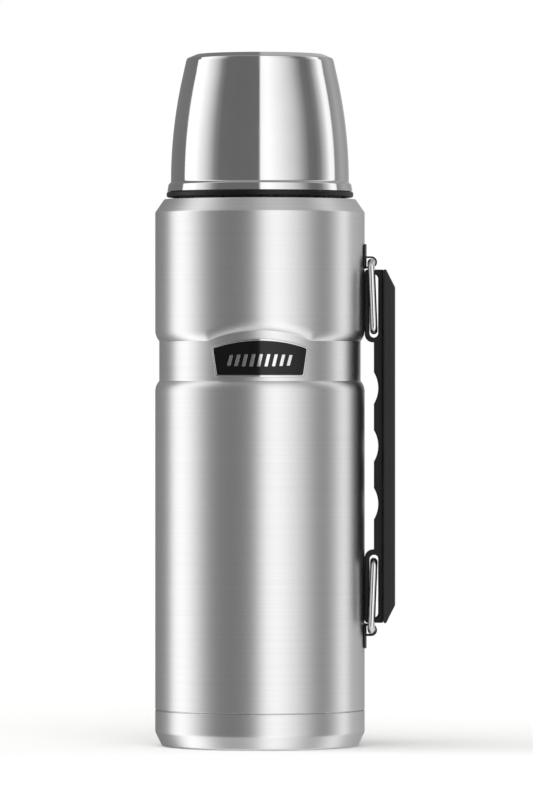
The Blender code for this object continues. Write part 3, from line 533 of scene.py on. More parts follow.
@dataclass(frozen=True)
class Thread:
    """A helical ridge on a turned wall."""

    start: float
    height: float = 1.2
    lead: float = 6.0
    turns: float = 1.15
    foot: float = 1.15
    crest: float = 0.45
    fade: float = 0.1

    def rise(self, azimuth: np.ndarray, level: np.ndarray) -> np.ndarray:
        """The ridge's height at each point of the wall.

        The ridge's middle is start + lead times the turns made. Its height falls with an eased flank from
        crest to foot on each side of the middle, and fades in over its first and last tenth of a turn.

        Args:
            azimuth: The points' azimuths, from 0 to a full turn.
            level: The points' levels.

        Returns:
            The heights.
        """
        tallest = np.zeros_like(level)
        for lap in range(math.ceil(self.turns)):
            made = azimuth / FULL_TURN + lap
            away = np.abs(level - self.start - self.lead * made)
            flank = eased((self.foot - away) / (self.foot - self.crest))
            ends = eased(np.minimum(made, self.turns - made) / self.fade)
            tallest = np.maximum(tallest, flank * ends)
        return self.height * tallest


@dataclass(frozen=True)
class BoreThread:
    """A thread that stands inwards from a turned wall's bore, above a level."""

    thread: Thread
    bore: float
    nearness: float
    above: float = 0.0

    def __call__(self, radius: np.ndarray, azimuth: np.ndarray, level: np.ndarray) -> Pair:
        """The relief for turned()."""
        in_bore = (np.abs(radius - self.bore) < self.nearness) & (level > self.above)
        return radius - np.where(in_bore, self.thread.rise(azimuth, level), 0), level


# Materials


def colour(code: str) -> tuple[float, ...]:
    """A linear colour from an sRGB hex code.

    Args:
        code: Six hex digits after a hash.

    Returns:
        Red, green, blue and an alpha of 1, each from 0 to 1.
    """
    parts = np.array([int(code[at: at + 2], 16) for at in (1, 3, 5)]) / 255
    linear = np.where(parts <= 0.04045, parts / 12.92, ((parts + 0.055) / 1.055) ** 2.4)
    return (*linear.tolist(), 1.0)


def add_node(tree: bpy.types.NodeTree, kind: str, inputs: Optional[dict] = None,
             **settings: object) -> bpy.types.Node:
    """Adds a node with its settings, values and links.

    Args:
        tree: The node tree.
        kind: The node's type.
        inputs: Values or sockets by input name or number. A socket is linked.
        settings: The node's own properties.

    Returns:
        The node.
    """
    node = tree.nodes.new(kind)
    for name, value in settings.items():
        setattr(node, name, value)
    for name, value in (inputs or {}).items():
        if isinstance(value, bpy.types.NodeSocket):
            tree.links.new(value, node.inputs[name])
        else:
            node.inputs[name].default_value = value
    return node


@dataclass(frozen=True)
class Pattern:
    """A pattern on Object coordinates. Its period is in millimetres, and may differ along Z."""

    period: float
    upright: Optional[float] = None
    detail: float = 2.0
    fine: float = 0.5
    grain: Grain = Grain.NOISE
    smoothness: float = 0.6
    used: Span = (0.3, 0.7)

    def value(self, tree: bpy.types.NodeTree) -> bpy.types.NodeSocket:
        """The pattern's own value.

        Args:
            tree: The material's tree.

        Returns:
            A socket, mostly from 0 to 1.
        """
        scale = [1 / (period * MM) for period in (self.period, self.period, self.upright or self.period)]
        place = add_node(tree, "ShaderNodeTexCoord").outputs["Object"]
        scaled = add_node(tree, "ShaderNodeMapping", {"Vector": place, "Scale": scale}).outputs[0]
        inputs = {"Vector": scaled, "Scale": 1.0}
        if self.grain is Grain.NOISE:
            inputs |= {"Detail": self.detail, "Roughness": self.fine}
            return add_node(tree, "ShaderNodeTexNoise", inputs).outputs[0]
        if self.grain is Grain.ROUND_CELLS:
            inputs["Smoothness"] = self.smoothness
        return add_node(tree, "ShaderNodeTexVoronoi", inputs, feature=self.grain.value).outputs["Distance"]

    def stretched(self, tree: bpy.types.NodeTree, low: float, high: float) -> bpy.types.NodeSocket:
        """The value, its used range stretched to low and high and held there.

        Args:
            tree: The material's tree.
            low: What the used range's start becomes.
            high: What its end becomes.

        Returns:
            The stretched value's socket.
        """
        inputs = {"Value": self.value(tree), "From Min": self.used[0], "From Max": self.used[1],
                  "To Min": low, "To Max": high}
        return add_node(tree, "ShaderNodeMapRange", inputs).outputs[0]


@dataclass(frozen=True)
class Finish:
    """A material, named for what it is and how its surface was made.

    The relief is its height, and varies its colour and roughness too where they have no pattern of their own.
    """

    name: str
    slot: Slot
    dark: str
    light: str
    roughness: Span
    depth: float
    relief: Pattern
    tint: Optional[Pattern] = None
    wear: Optional[Pattern] = None
    metallic: float = 1.0
    specular: float = 0.5
    sheen: float = 0.0
    sheen_roughness: float = 0.4
    bump: float = 1.0

    def surface(self, tree: bpy.types.NodeTree) -> dict:
        """The Principled shader's inputs.

        Args:
            tree: The material's tree.

        Returns:
            Values and sockets by input name.
        """
        shade = {0: (self.tint or self.relief).stretched(tree, 0.0, 1.0), 6: colour(self.dark),
                 7: colour(self.light)}
        height = {"Height": self.relief.value(tree), "Distance": self.depth * MM, "Strength": self.bump}
        return {
            "Base Color": add_node(tree, "ShaderNodeMix", shade, data_type="RGBA").outputs[2],
            "Metallic": self.metallic,
            "Roughness": (self.wear or self.relief).stretched(tree, *self.roughness),
            "Specular IOR Level": self.specular,
            "Sheen Weight": self.sheen,
            "Sheen Roughness": self.sheen_roughness,
            "Normal": add_node(tree, "ShaderNodeBump", height).outputs[0],
        }

    def build(self) -> bpy.types.Material:
        """The material of this finish's name, made once for all its pieces.

        Returns:
            The material.
        """
        made = bpy.data.materials.get(self.name)
        if made:
            return made
        material = bpy.data.materials.new(self.name)
        material.use_nodes = True
        tree = material.node_tree
        tree.nodes.clear()
        shader = add_node(tree, "ShaderNodeBsdfPrincipled", self.surface(tree))
        add_node(tree, "ShaderNodeOutputMaterial", {"Surface": shader.outputs[0]})
        return material


@dataclass(frozen=True)
class BrushedFinish(Finish):
    """A metal whose scratches run round the flask's axis, so that light spreads across them, along Z."""

    anisotropy: float = 0.45
    rotation: float = 0.25

    def surface(self, tree: bpy.types.NodeTree) -> dict:
        """The plain finish's inputs and the scratches' direction."""
        around = add_node(tree, "ShaderNodeTangent", direction_type="RADIAL", axis="Z").outputs[0]
        return super().surface(tree) | {"Anisotropic": self.anisotropy, "Tangent": around,
                                        "Anisotropic Rotation": self.rotation}


def moulded(name: str, slot: Slot, dark: str, light: str, roughness: Span, specular: float, grain: float,
            depth: float) -> Finish:
    """A plastic moulded in a spark-eroded tool: a fine even grain, and 30 mm drifts of the melt's gloss."""
    return Finish(name, slot, dark, light, roughness, depth, Pattern(grain, detail=3.0, fine=0.6),
                  wear=Pattern(30.0), metallic=0.0, specular=specular)


# 304 stainless steel, brushed by a belt while the tube turned. Upright bands of light stay fairly crisp
# and carry faint level streaks. Real scratches are too fine to show: these are 0.3 and 0.9 mm apart.
BRUSHED_STEEL = BrushedFinish("stainless_steel_belt_brushed", Slot.BRUSHED_STEEL, "#DEDEDE", "#E2E2E2",
                              (0.378, 0.402), 0.0006, Pattern(90.0, 0.3, 3.0, 0.6), Pattern(180.0, 0.9))
# 304 stainless steel, buffed to a mirror after spinning. It mirrors the studio sharply; faint buffing lines
# 2 mm apart and 25 mm clouds of wiping keep it from looking like glass.
POLISHED_STEEL = Finish("stainless_steel_mirror_polished", Slot.POLISHED_STEEL, "#CFCFCF", "#D4D4D4",
                        (0.05, 0.09), 0.0012, Pattern(80.0, 2.0), Pattern(25.0), Pattern(25.0))
# Stainless spring wire, drawn through a die and tumbled bright: softer highlights than a buffed mirror, with
# 0.8 mm specks of tumbling.
TUMBLED_WIRE = Finish("stainless_wire_tumbled", Slot.POLISHED_WIRE, "#D8D8D8", "#E0E0E0", (0.10, 0.17), 0.003,
                      Pattern(0.8))
# 304 stainless steel as drawn and spun, not brushed: a satin grey with 1.2 mm rings round the axis.
SPUN_STEEL = Finish("stainless_steel_as_spun", Slot.VESSEL_STEEL, "#B9B8B6", "#C6C5C2", (0.27, 0.37), 0.006,
                    Pattern(90.0, 1.2, 3.0, 0.6))
# Copper foil rolled thin and wrapped by hand: bright, and crinkled about every 7 mm.
COPPER_FOIL = Finish("copper_foil_rolled", Slot.COPPER_FOIL, "#D68A63", "#E3A37E", (0.16, 0.30), 0.25,
                     Pattern(7.0, detail=3.0, fine=0.6))
# Tin solder that froze where it melted: dull, with 1.5 mm grains.
TIN_SOLDER = Finish("tin_solder_as_melted", Slot.SOLDER, "#9C9C9E", "#B6B6B8", (0.40, 0.55), 0.08,
                    Pattern(1.5, detail=3.0))
# A gas-absorbing zirconium alloy pressed from powder: dark grey with 0.3 mm grains.
PRESSED_ALLOY = Finish("zirconium_alloy_pressed_powder", Slot.GETTER, "#6A6765", "#8A8784", (0.55, 0.75),
                       0.05, Pattern(0.3, detail=3.0, fine=0.7))
# Black polyester powder baked on pressed steel: a shallow 1 mm orange peel with a satin gloss.
POWDER_COAT = Finish("steel_black_powder_coated", Slot.COATED_STEEL, "#0C0C0D", "#111112", (0.34, 0.42), 0.02,
                     Pattern(1.0, detail=1.0), metallic=0.0)
# Gloss black enamel stoved on the badge's plate: nearly a black mirror, with a faint 4 mm waviness.
STOVED_ENAMEL = Finish("enamel_gloss_black", Slot.ENAMEL, "#090909", "#0C0C0D", (0.08, 0.13), 0.002,
                       Pattern(4.0, detail=1.0), metallic=0.0, specular=0.3)
# Thermoplastic elastomer moulded over the handle's back: dull and slightly velvety, with a broad soft
# highlight and a pale sheen at grazing angles over a 0.6 mm leather-like pebble.
SOFT_TOUCH = Finish("elastomer_soft_touch", Slot.SOFT_COVER, "#1C1C1D", "#222223", (0.50, 0.58), 0.015,
                    Pattern(0.6, grain=Grain.ROUND_CELLS), Pattern(20.0), Pattern(20.0), metallic=0.0,
                    specular=0.35, sheen=0.06, bump=0.6)
# Rigid polyurethane foam, cut to a disc: off-white and matt, with 0.7 mm open cells.
CUT_FOAM = Finish("polyurethane_foam_cut", Slot.FOAM, "#DCD8CB", "#F0EDE2", (0.85, 0.95), 0.15,
                  Pattern(0.7, grain=Grain.CELLS), Pattern(0.7, grain=Grain.CELLS, used=(0.0, 1.0)),
                  metallic=0.0)
# Black polypropylene of the grip and the stopper: a dull black with 0.45 mm grain.
BLACK_PLASTIC = moulded("polypropylene_black_moulded", Slot.BLACK_PLASTIC, "#0E0E0F", "#121213",
                        (0.41, 0.49), 0.28, 0.45, 0.006)
# The cup's ring of black elastomer: a smoother, deeper black.
RING_RUBBER = moulded("elastomer_ring_black", Slot.BLACK_PLASTIC, "#0A0A0B", "#0D0D0E", (0.36, 0.44), 0.3,
                      0.6, 0.001)
# Grey polypropylene of the cup's lining and the seal's disc: a soft satin grey.
LINER_PLASTIC = moulded("polypropylene_grey_moulded", Slot.LINER, "#6B6B6D", "#747476", (0.34, 0.42), 0.5,
                        0.6, 0.006)
# Pale grey moulded silicone: matt, and lighter than the plastics round it.
SILICONE = moulded("silicone_grey_moulded", Slot.SILICONE, "#B0B0AD", "#B9B9B6", (0.46, 0.54), 0.5, 0.5,
                   0.006)


# Pieces


def add_piece(name: str, shape: Shape, finish: Finish, body: Body, *nodes: str) -> None:
    """Makes a piece of the shape, dresses it, and lets it ride on a body in its nodes' place.

    Args:
        name: The piece's name.
        shape: Its closed shape in millimetres.
        finish: Its finish, whose material the piece gets.
        body: The body that it moves with.
        nodes: The frame nodes that it stands for.
    """
    mesh = shape.mesh(name, MM)
    mesh.validate()
    mesh.materials.append(finish.build())
    mesh.shade_smooth()
    mesh.set_sharp_from_angle(angle=SHARP_ANGLE)
    piece = bpy.data.objects.new(name, mesh)
    bpy.context.scene.collection.objects.link(piece)
    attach(piece, body.value)
    if nodes:
        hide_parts(*nodes)
    log.info("%s: %d points, %d faces, on %s", name, len(mesh.vertices), len(mesh.polygons), body.value)


@dataclass
class OuterBody:
    """The brushed outer shell with its neck, shoulder and recessed band, and the cap under it."""

    thread: Thread
    sheet: float = 0.6
    skirt_inset: float = 0.9
    seam: float = 0.4
    seam_round: float = 0.25
    lip_to_shoulder: float = 25.7
    shoulder_width: float = 4.1
    shoulder_rise: float = 6.0
    shoulder_round: float = 1.0
    ledge_width: float = 6.9
    ledge_rise: float = 0.6
    ledge_round: float = 0.3
    neck_foot_round: float = 0.4
    neck_height: float = 17.0
    neck_round: float = 2.5
    neck_fine_step: float = 0.5
    lip_width: float = 7.5
    band_drop: float = 81.9
    band_depth: float = 1.85
    band_lower_round: float = 4.8
    band_floor: float = 18.1
    band_upper_round: float = 5.2
    arch_half_width: float = 25.4
    arch_rise: float = 4.8
    arch_slide: float = 9.0
    chamfer_width: float = 3.1
    chamfer_height: float = 6.5
    foot_round: float = 1.6
    chamfer_round: float = 3.0
    columns: int = 280

    def __post_init__(self) -> None:
        """Reads the shell's levels and radius from the frame."""
        self.foot, self.lip, self.radius = span_of("outer_shell")
        self.cap_top = span_of("base_cap")[1]
        self.shoulder = self.lip - self.lip_to_shoulder
        self.ledge = self.shoulder + self.shoulder_rise + self.ledge_rise
        self.neck_radius = self.radius - self.shoulder_width - self.ledge_width
        self.band_bottom = self.shoulder - self.band_drop
        self.band_low = self.band_bottom + self.band_lower_round
        self.band_high = self.band_low + self.band_floor
        self.band_top = self.band_high + self.band_upper_round

    def band_edge(self, height: float, way: int, steps: int = 8) -> np.ndarray:
        """The convex round between the wall and the band.

        An arc tangent to the wall that falls by the band's depth over a height h, so its radius is
        (depth squared + h squared) / (2 depth).

        Args:
            height: The height h.
            way: 1 where the band lies above the arc, -1 where it lies below.
            steps: The number of steps in the arc.

        Returns:
            Points from the wall to the band.
        """
        radius = (self.band_depth**2 + height**2) / (2 * self.band_depth)
        level = self.band_bottom if way > 0 else self.band_top
        return arc((self.radius - radius, level), radius, 0, way * math.asin(height / radius), steps)

    def upper_line(self, inset: float) -> np.ndarray:
        """The shell's line from the shoulder to the lip, moved inwards by an inset.

        Args:
            inset: How far it's moved inwards.

        Returns:
            (n, 2) points of radius and level.
        """
        wall, neck = self.radius - inset, self.neck_radius - inset
        top = self.ledge + self.neck_height - inset
        return rounded([
            (wall, self.band_top + inset, 0),
            (wall, self.shoulder - inset / 2, self.shoulder_round),
            (wall - self.shoulder_width, self.ledge - self.ledge_rise - inset, self.ledge_round),
            (neck, self.ledge - inset, self.neck_foot_round),
            (neck, top, self.neck_round - inset),
            (neck - self.lip_width, top, self.ledge_round),
            (neck - self.lip_width, self.lip, 0),
        ])[1:]

    def shell_outline(self) -> np.ndarray:
        """The shell's half section, outside and then inside.

        Returns:
            (n, 2) points of radius and level.
        """
        sheet, seam = self.sheet, self.cap_top + self.seam
        skirt, inner = self.radius - self.skirt_inset, self.radius - self.sheet
        hollow = inner - self.band_depth
        below = rounded([(skirt, self.foot, 0), (skirt, seam, 0), (self.radius, seam, self.seam_round),
                         (self.radius, self.band_bottom, 0)])[:-1]
        inside = [(inner, self.band_top), (hollow, self.band_high + sheet / 2),
                  (hollow, self.band_low - sheet / 2), (inner, self.band_bottom), (inner, seam + sheet),
                  (skirt - sheet, seam + sheet), (skirt - sheet, self.foot)]
        return np.concatenate([below, self.band_edge(self.band_lower_round, 1),
                               self.band_edge(self.band_upper_round, -1)[::-1], self.upper_line(0.0),
                               self.upper_line(sheet)[::-1], inside])

    def raised(self, radius: np.ndarray, azimuth: np.ndarray, level: np.ndarray) -> Pair:
        """The relief of the arch over the badge and of the neck's rolled thread.

        The band's upper edge is lifted by a circle's height over its chord, and the wall above and below
        slides along with it. The thread stands out from the neck.

        Args:
            radius: The points' radii.
            azimuth: Their azimuths.
            level: Their levels.

        Returns:
            The new radii and levels.
        """
        half, rise = self.arch_half_width, self.arch_rise
        arch_radius = (half**2 + rise**2) / (2 * rise)
        along = np.abs((azimuth - FRONT) * self.radius)
        chord = np.sqrt(np.maximum(arch_radius**2 - along**2, 0)) - (arch_radius - rise)
        below = (level - self.band_high) / self.arch_slide + 1
        above = (self.band_top - level) / self.arch_slide + 1
        lift = np.where(along < half, chord * np.clip(np.minimum(below, above), 0, 1), 0)
        on_neck = (radius > self.neck_radius - self.sheet / 2) & (level > self.ledge)
        return radius + np.where(on_neck, self.thread.rise(azimuth, level), 0), level + lift

    def cap_outline(self) -> np.ndarray:
        """The base cap's half section: a flat foot, a chamfer and a short wall.

        Returns:
            (n, 2) points of radius and level.
        """
        foot, inner, sheet = self.radius - self.chamfer_width, self.radius - self.sheet, self.sheet
        return rounded([
            (0, 0, 0),
            (foot, 0, self.foot_round),
            (self.radius, self.chamfer_height, self.chamfer_round),
            (self.radius, self.cap_top, self.seam_round),
            (inner, self.cap_top, self.seam_round),
            (inner, self.chamfer_height + sheet / 2, self.chamfer_round - sheet),
            (foot - sheet / 2, sheet, sheet / 2),
            (0, sheet, 0),
        ])

    def build(self) -> None:
        """Makes the shell and the base cap."""
        fineness = Fineness(fine_step=self.neck_fine_step, fine_from=self.ledge,
                            fine_to=self.ledge + self.neck_height)
        shell = turned(self.shell_outline(), fineness, self.columns, self.raised)
        add_piece("outer_shell_skin", shell, BRUSHED_STEEL, Body.FLASK, "outer_shell")
        cap = turned(self.cap_outline(), columns=self.columns)
        add_piece("base_cap_skin", cap, BRUSHED_STEEL, Body.FLASK, "base_cap")


@dataclass
class VacuumVessel:
    """The inner vessel and what lies in the vacuum round it, down to the sealed outer bottom."""

    mouth: float
    thread: Thread
    sheet: float = 0.6
    shoulder: float = 229.0
    shoulder_round: float = 10.0
    seat_low: float = 241.0
    seat_high: float = 246.7
    seat_width: float = 3.3
    seat_neck: float = 2.0
    neck_round: float = 1.0
    seat_round: float = 0.5
    dish_rim: float = 5.0
    dish_rise: float = 1.0
    dish_round: float = 1.5
    weld_round: float = 0.1
    air_hole: float = 1.0
    dimple: float = 6.0
    dimple_depth: float = 1.8
    dimple_round: float = 0.4
    inner_round: float = 0.6
    outer_round: float = 1.0
    foil_sheet: float = 0.2
    clip_inner_round: float = 0.1
    clip_outer_round: float = 0.4
    plug_round: float = 0.35
    pill_round: float = 0.25
    step: float = 8.0
    fine_step: float = 0.4
    columns: int = 240
    small_columns: int = 96
    plug_columns: int = 64

    def line(self, outset: float) -> np.ndarray:
        """The vessel's line from its foot to its lip, at an outset from its bore.

        Args:
            outset: How far it lies outside the bore.

        Returns:
            (n, 2) points of radius and level.
        """
        low, lip, radius = span_of("inner_vessel")
        bore, mouth = radius - self.sheet + outset, self.mouth + outset
        seat = mouth - self.seat_width
        return rounded([
            (bore, low, 0),
            (bore, self.shoulder, self.shoulder_round),
            (seat, self.seat_low - self.seat_neck + outset / 2, self.neck_round),
            (seat, self.seat_low, self.seat_round),
            (mouth, self.seat_high, self.seat_round),
            (mouth, lip, 0),
        ])

    def bottom_outline(self) -> np.ndarray:
        """The dished bottom welded into the vessel.

        Returns:
            (n, 2) points of radius and level.
        """
        low, high, radius = span_of("inner_bottom")
        rim, inner = radius - self.dish_rim, radius - self.sheet
        dish = low + self.dish_rise
        return rounded([
            (0, dish, 0), (rim, dish, self.dish_round), (inner, dish + self.dish_rise, 0), (inner, low, 0),
            (radius, low, 0), (radius, high, 0), (inner, high, self.weld_round),
            (rim, dish + self.sheet, self.dish_round), (0, dish + self.sheet, 0),
        ])

    def outer_bottom_outline(self) -> np.ndarray:
        """The disc that closes the outer wall, with a dimple and a hole to draw the air out by.

        Returns:
            (n, 2) points of radius and level.
        """
        low, high, radius = span_of("outer_bottom")
        inner, top, edge = radius - self.sheet, high - self.sheet, self.dimple_round
        floor, dimple = top - self.dimple_depth, self.dimple + self.sheet
        return rounded([
            (self.air_hole, top, 0), (self.dimple, top, edge), (self.dimple, floor, edge),
            (inner, floor, self.inner_round), (inner, low, 0), (radius, low, 0),
            (radius, floor + self.sheet, self.outer_round), (dimple, floor + self.sheet, edge),
            (dimple, high, edge), (self.air_hole, high, 0),
        ])

    def clip_outline(self) -> np.ndarray:
        """The cup-shaped clip that holds the getter's pill.

        Returns:
            (n, 2) points of radius and level.
        """
        low, high, radius = span_of("getter_clip")
        inner, under = radius - self.sheet / 2, high - self.sheet / 2
        return rounded([(0, under, 0), (inner, under, self.clip_inner_round), (inner, low, 0),
                        (radius, low, 0), (radius, high, self.clip_outer_round), (0, high, 0)])

    def build(self) -> None:
        """Makes the vessel's pieces. The foil's overlap is left plain."""
        wall = np.concatenate([self.line(self.sheet), self.line(0.0)[::-1]])
        fineness = Fineness(self.step, self.fine_step, self.seat_high, span_of("inner_vessel")[1])
        thread = BoreThread(self.thread, self.mouth, self.sheet / 2, self.seat_high)
        low, high, radius = span_of("reflective_foil")
        inner = radius - self.foil_sheet
        foil = np.array([(inner, low), (radius, low), (radius, high), (inner, high)])
        vessel = turned(wall, fineness, self.columns, thread)
        clip = turned(self.clip_outline(), columns=self.small_columns)
        plug = disc("vacuum_plug", self.plug_round, self.plug_columns)
        pill = disc("getter", self.pill_round, self.small_columns)
        for name, shape, finish, node in (
            ("inner_vessel_skin", vessel, SPUN_STEEL, "inner_vessel"),
            ("inner_bottom_skin", turned(self.bottom_outline()), SPUN_STEEL, "inner_bottom"),
            ("outer_bottom_skin", turned(self.outer_bottom_outline()), SPUN_STEEL, "outer_bottom"),
            ("vacuum_plug_bead", plug, TIN_SOLDER, "vacuum_plug"),
            ("copper_foil_wrap", turned(foil), COPPER_FOIL, "reflective_foil"),
            ("getter_clip_cup", clip, SPUN_STEEL, "getter_clip"),
            ("getter_pill", pill, PRESSED_ALLOY, "getter"),
        ):
            add_piece(name, shape, finish, Body.FLASK, node)


@dataclass
class Badge:
    """The arched badge in the band: a polished rim, gloss enamel and a row of plain slanted bars."""

    half_bottom: float = 19.6
    half_top: float = 21.5
    crown: float = 3.6
    crown_share: float = 0.4
    border: float = 0.9
    corner: float = 0.8
    rim_round: float = 0.28
    tray: float = 0.9
    enamel_sink: float = 0.12
    play: float = 0.05
    slices: float = 1.5
    bars: int = 9
    bar_pitch: float = 3.35
    bar_width: float = 1.5
    bar_slant: float = 1.3
    bar_height: float = 5.6
    bar_shrink: float = 0.35
    bar_lift: float = 0.7
    bar_round: float = 0.2
    bar_relief: float = 0.12
    bar_sink: float = 0.1
    fine_round: float = 0.05
    floor_low: float = 0.02
    floor_high: float = 0.3
    enamel_low: float = 0.5
    enamel_round: float = 0.08
    arch_points: int = 33

    def __post_init__(self) -> None:
        """Reads the badge's levels from the frame."""
        self.low, high, _ = span_of("badge_inlay")
        self.side = high - self.crown

    def outline(self, grown: float) -> np.ndarray:
        """The badge's outline with leaning sides and an arched top, grown by a margin.

        The top's level falls from the crown with the square of the distance from the middle.

        Args:
            grown: The margin.

        Returns:
            (n, 2) points of distance round the wall and level.
        """
        low, side = self.low - grown, self.side + grown * (1 - self.crown_share)
        bottom, top, corner = self.half_bottom + grown, self.half_top + grown, self.corner
        share = np.linspace(1, -1, self.arch_points)[1:-1]
        crown = side + (self.crown + grown * self.crown_share) * (1 - share**2)
        arch = np.stack([top * share, crown, np.zeros_like(share)], axis=1)
        return rounded(np.concatenate([[(-bottom, low, corner), (bottom, low, corner), (top, side, corner)],
                                       arch, [(-top, side, corner)]]))

    def bar(self, index: int) -> np.ndarray:
        """The outline of one slanted bar. Bars get shorter away from the middle, as the crown does.

        Args:
            index: The bar's place in the row.

        Returns:
            (n, 2) points of distance round the wall and level.
        """
        middle = (index - (self.bars - 1) / 2) * self.bar_pitch
        tall = self.bar_height * (1 - self.bar_shrink * (middle / self.half_top) ** 2) / 2
        level = (self.low + self.side) / 2 + self.bar_lift
        lean, wide = self.bar_slant / 2, self.bar_width / 2
        return rounded([(middle + up * lean + right * wide, level + up * tall, self.bar_round)
                        for up, right in ((-1, -1), (-1, 1), (1, 1), (1, -1))], steps=3)

    def build(self) -> None:
        """Makes the rim with its tray, the enamel and the bars."""
        face, slices = self.tray - self.enamel_sink, self.slices
        bend = RoundWall(-float(corners_of("badge_frame")[0, 1]) - self.tray, FRONT)
        rim = Slab(0.0, self.tray, self.rim_round, slices=slices)
        rim = rim.cut(self.outline(self.border), [self.outline(self.play)])
        floor = Slab(self.floor_low, self.floor_high, self.fine_round, slices=slices)
        floor = floor.cut(self.outline(self.border / 2))
        plate = Slab(self.enamel_low, face, self.enamel_round, slices=slices).cut(self.outline(0.0))
        slab = Slab(face - self.bar_sink, face + self.bar_relief, self.fine_round, 3, self.fine_round)
        bars = sum((slab.cut(self.bar(index)) for index in range(1, self.bars)), slab.cut(self.bar(0)))
        add_piece("badge_rim", (rim + floor).moved(bend), POLISHED_STEEL, Body.FLASK, "badge_frame")
        add_piece("badge_enamel", plate.moved(bend), STOVED_ENAMEL, Body.FLASK, "badge_inlay")
        add_piece("badge_bars", bars.moved(bend), POLISHED_STEEL, Body.FLASK)


@dataclass
class Bracket:
    """A powder-coated plate on the wall with a strap looped round the bail's bar."""

    end: End
    sheet: float = 0.6
    corner: float = 2.2
    plate_round: float = 0.2
    slices: float = 1.2
    strap: float = 0.7
    strap_half_width: float = 5.8
    strap_round: float = 0.18
    bar_clearance: float = 0.4
    wire_radius: float = 1.6
    steps: int = 24

    def build(self, wall: float, hinge: Span) -> None:
        """Makes the plate and its strap.

        Args:
            wall: The radius of the wall.
            hinge: The bail's axis as (x, level).
        """
        node = f"{self.end.name.lower()}_bracket"
        low, high = corners_of(node)
        plate = Slab(0.0, self.sheet, self.plate_round, slices=self.slices)
        plate = plate.cut(rectangle(float(high[1]), low[2], high[2], self.corner))
        inner = self.wire_radius + self.bar_clearance
        outer = inner + self.strap
        foot, level = wall + GAP + self.sheet / 3, hinge[1]
        outline = np.concatenate([
            [(foot, level - outer)], arc(hinge, outer, -QUARTER, QUARTER, self.steps),
            [(foot, level + outer), (foot, level + inner)],
            arc(hinge, inner, QUARTER, -QUARTER, self.steps), [(foot, level - inner)],
        ])
        strap = Slab(-self.strap_half_width, self.strap_half_width, self.strap_round).cut(outline)
        whole = plate.moved(RoundWall(wall + GAP, 0.0)) + strap.moved(upright)
        add_piece(f"{node}_plate", whole, POWDER_COAT, Body.FLASK, node)


@dataclass
class Bail:
    """A closed ring of bright wire between a bracket and the handle."""

    end: End
    wire: float = 1.6
    corner: float = 3.2
    steps: int = 12

    def build(self, hinge: Span, bar: Span) -> None:
        """Makes the ring: a rectangle with round corners in the plane through both bars.

        Args:
            hinge: The bar in the bracket as (x, level).
            bar: The bar in the handle as (x, level).
        """
        node = f"{self.end.name.lower()}_bail"
        half = float(corners_of(node)[1, 1]) - self.wire
        length = math.dist(hinge, bar)
        run = (np.array(bar) - hinge) / length
        flat = rectangle(half, 0.0, length, self.corner, self.steps)
        path = np.stack([hinge[0] + flat[:, 1] * run[0], flat[:, 0], hinge[1] + flat[:, 1] * run[1]], axis=1)
        wire = swept(path, np.array([run[1], 0.0, -run[0]]), self.wire)
        add_piece(f"{node}_wire", wire, TUMBLED_WIRE, Body[f"{self.end.name}_WIRE"], node)


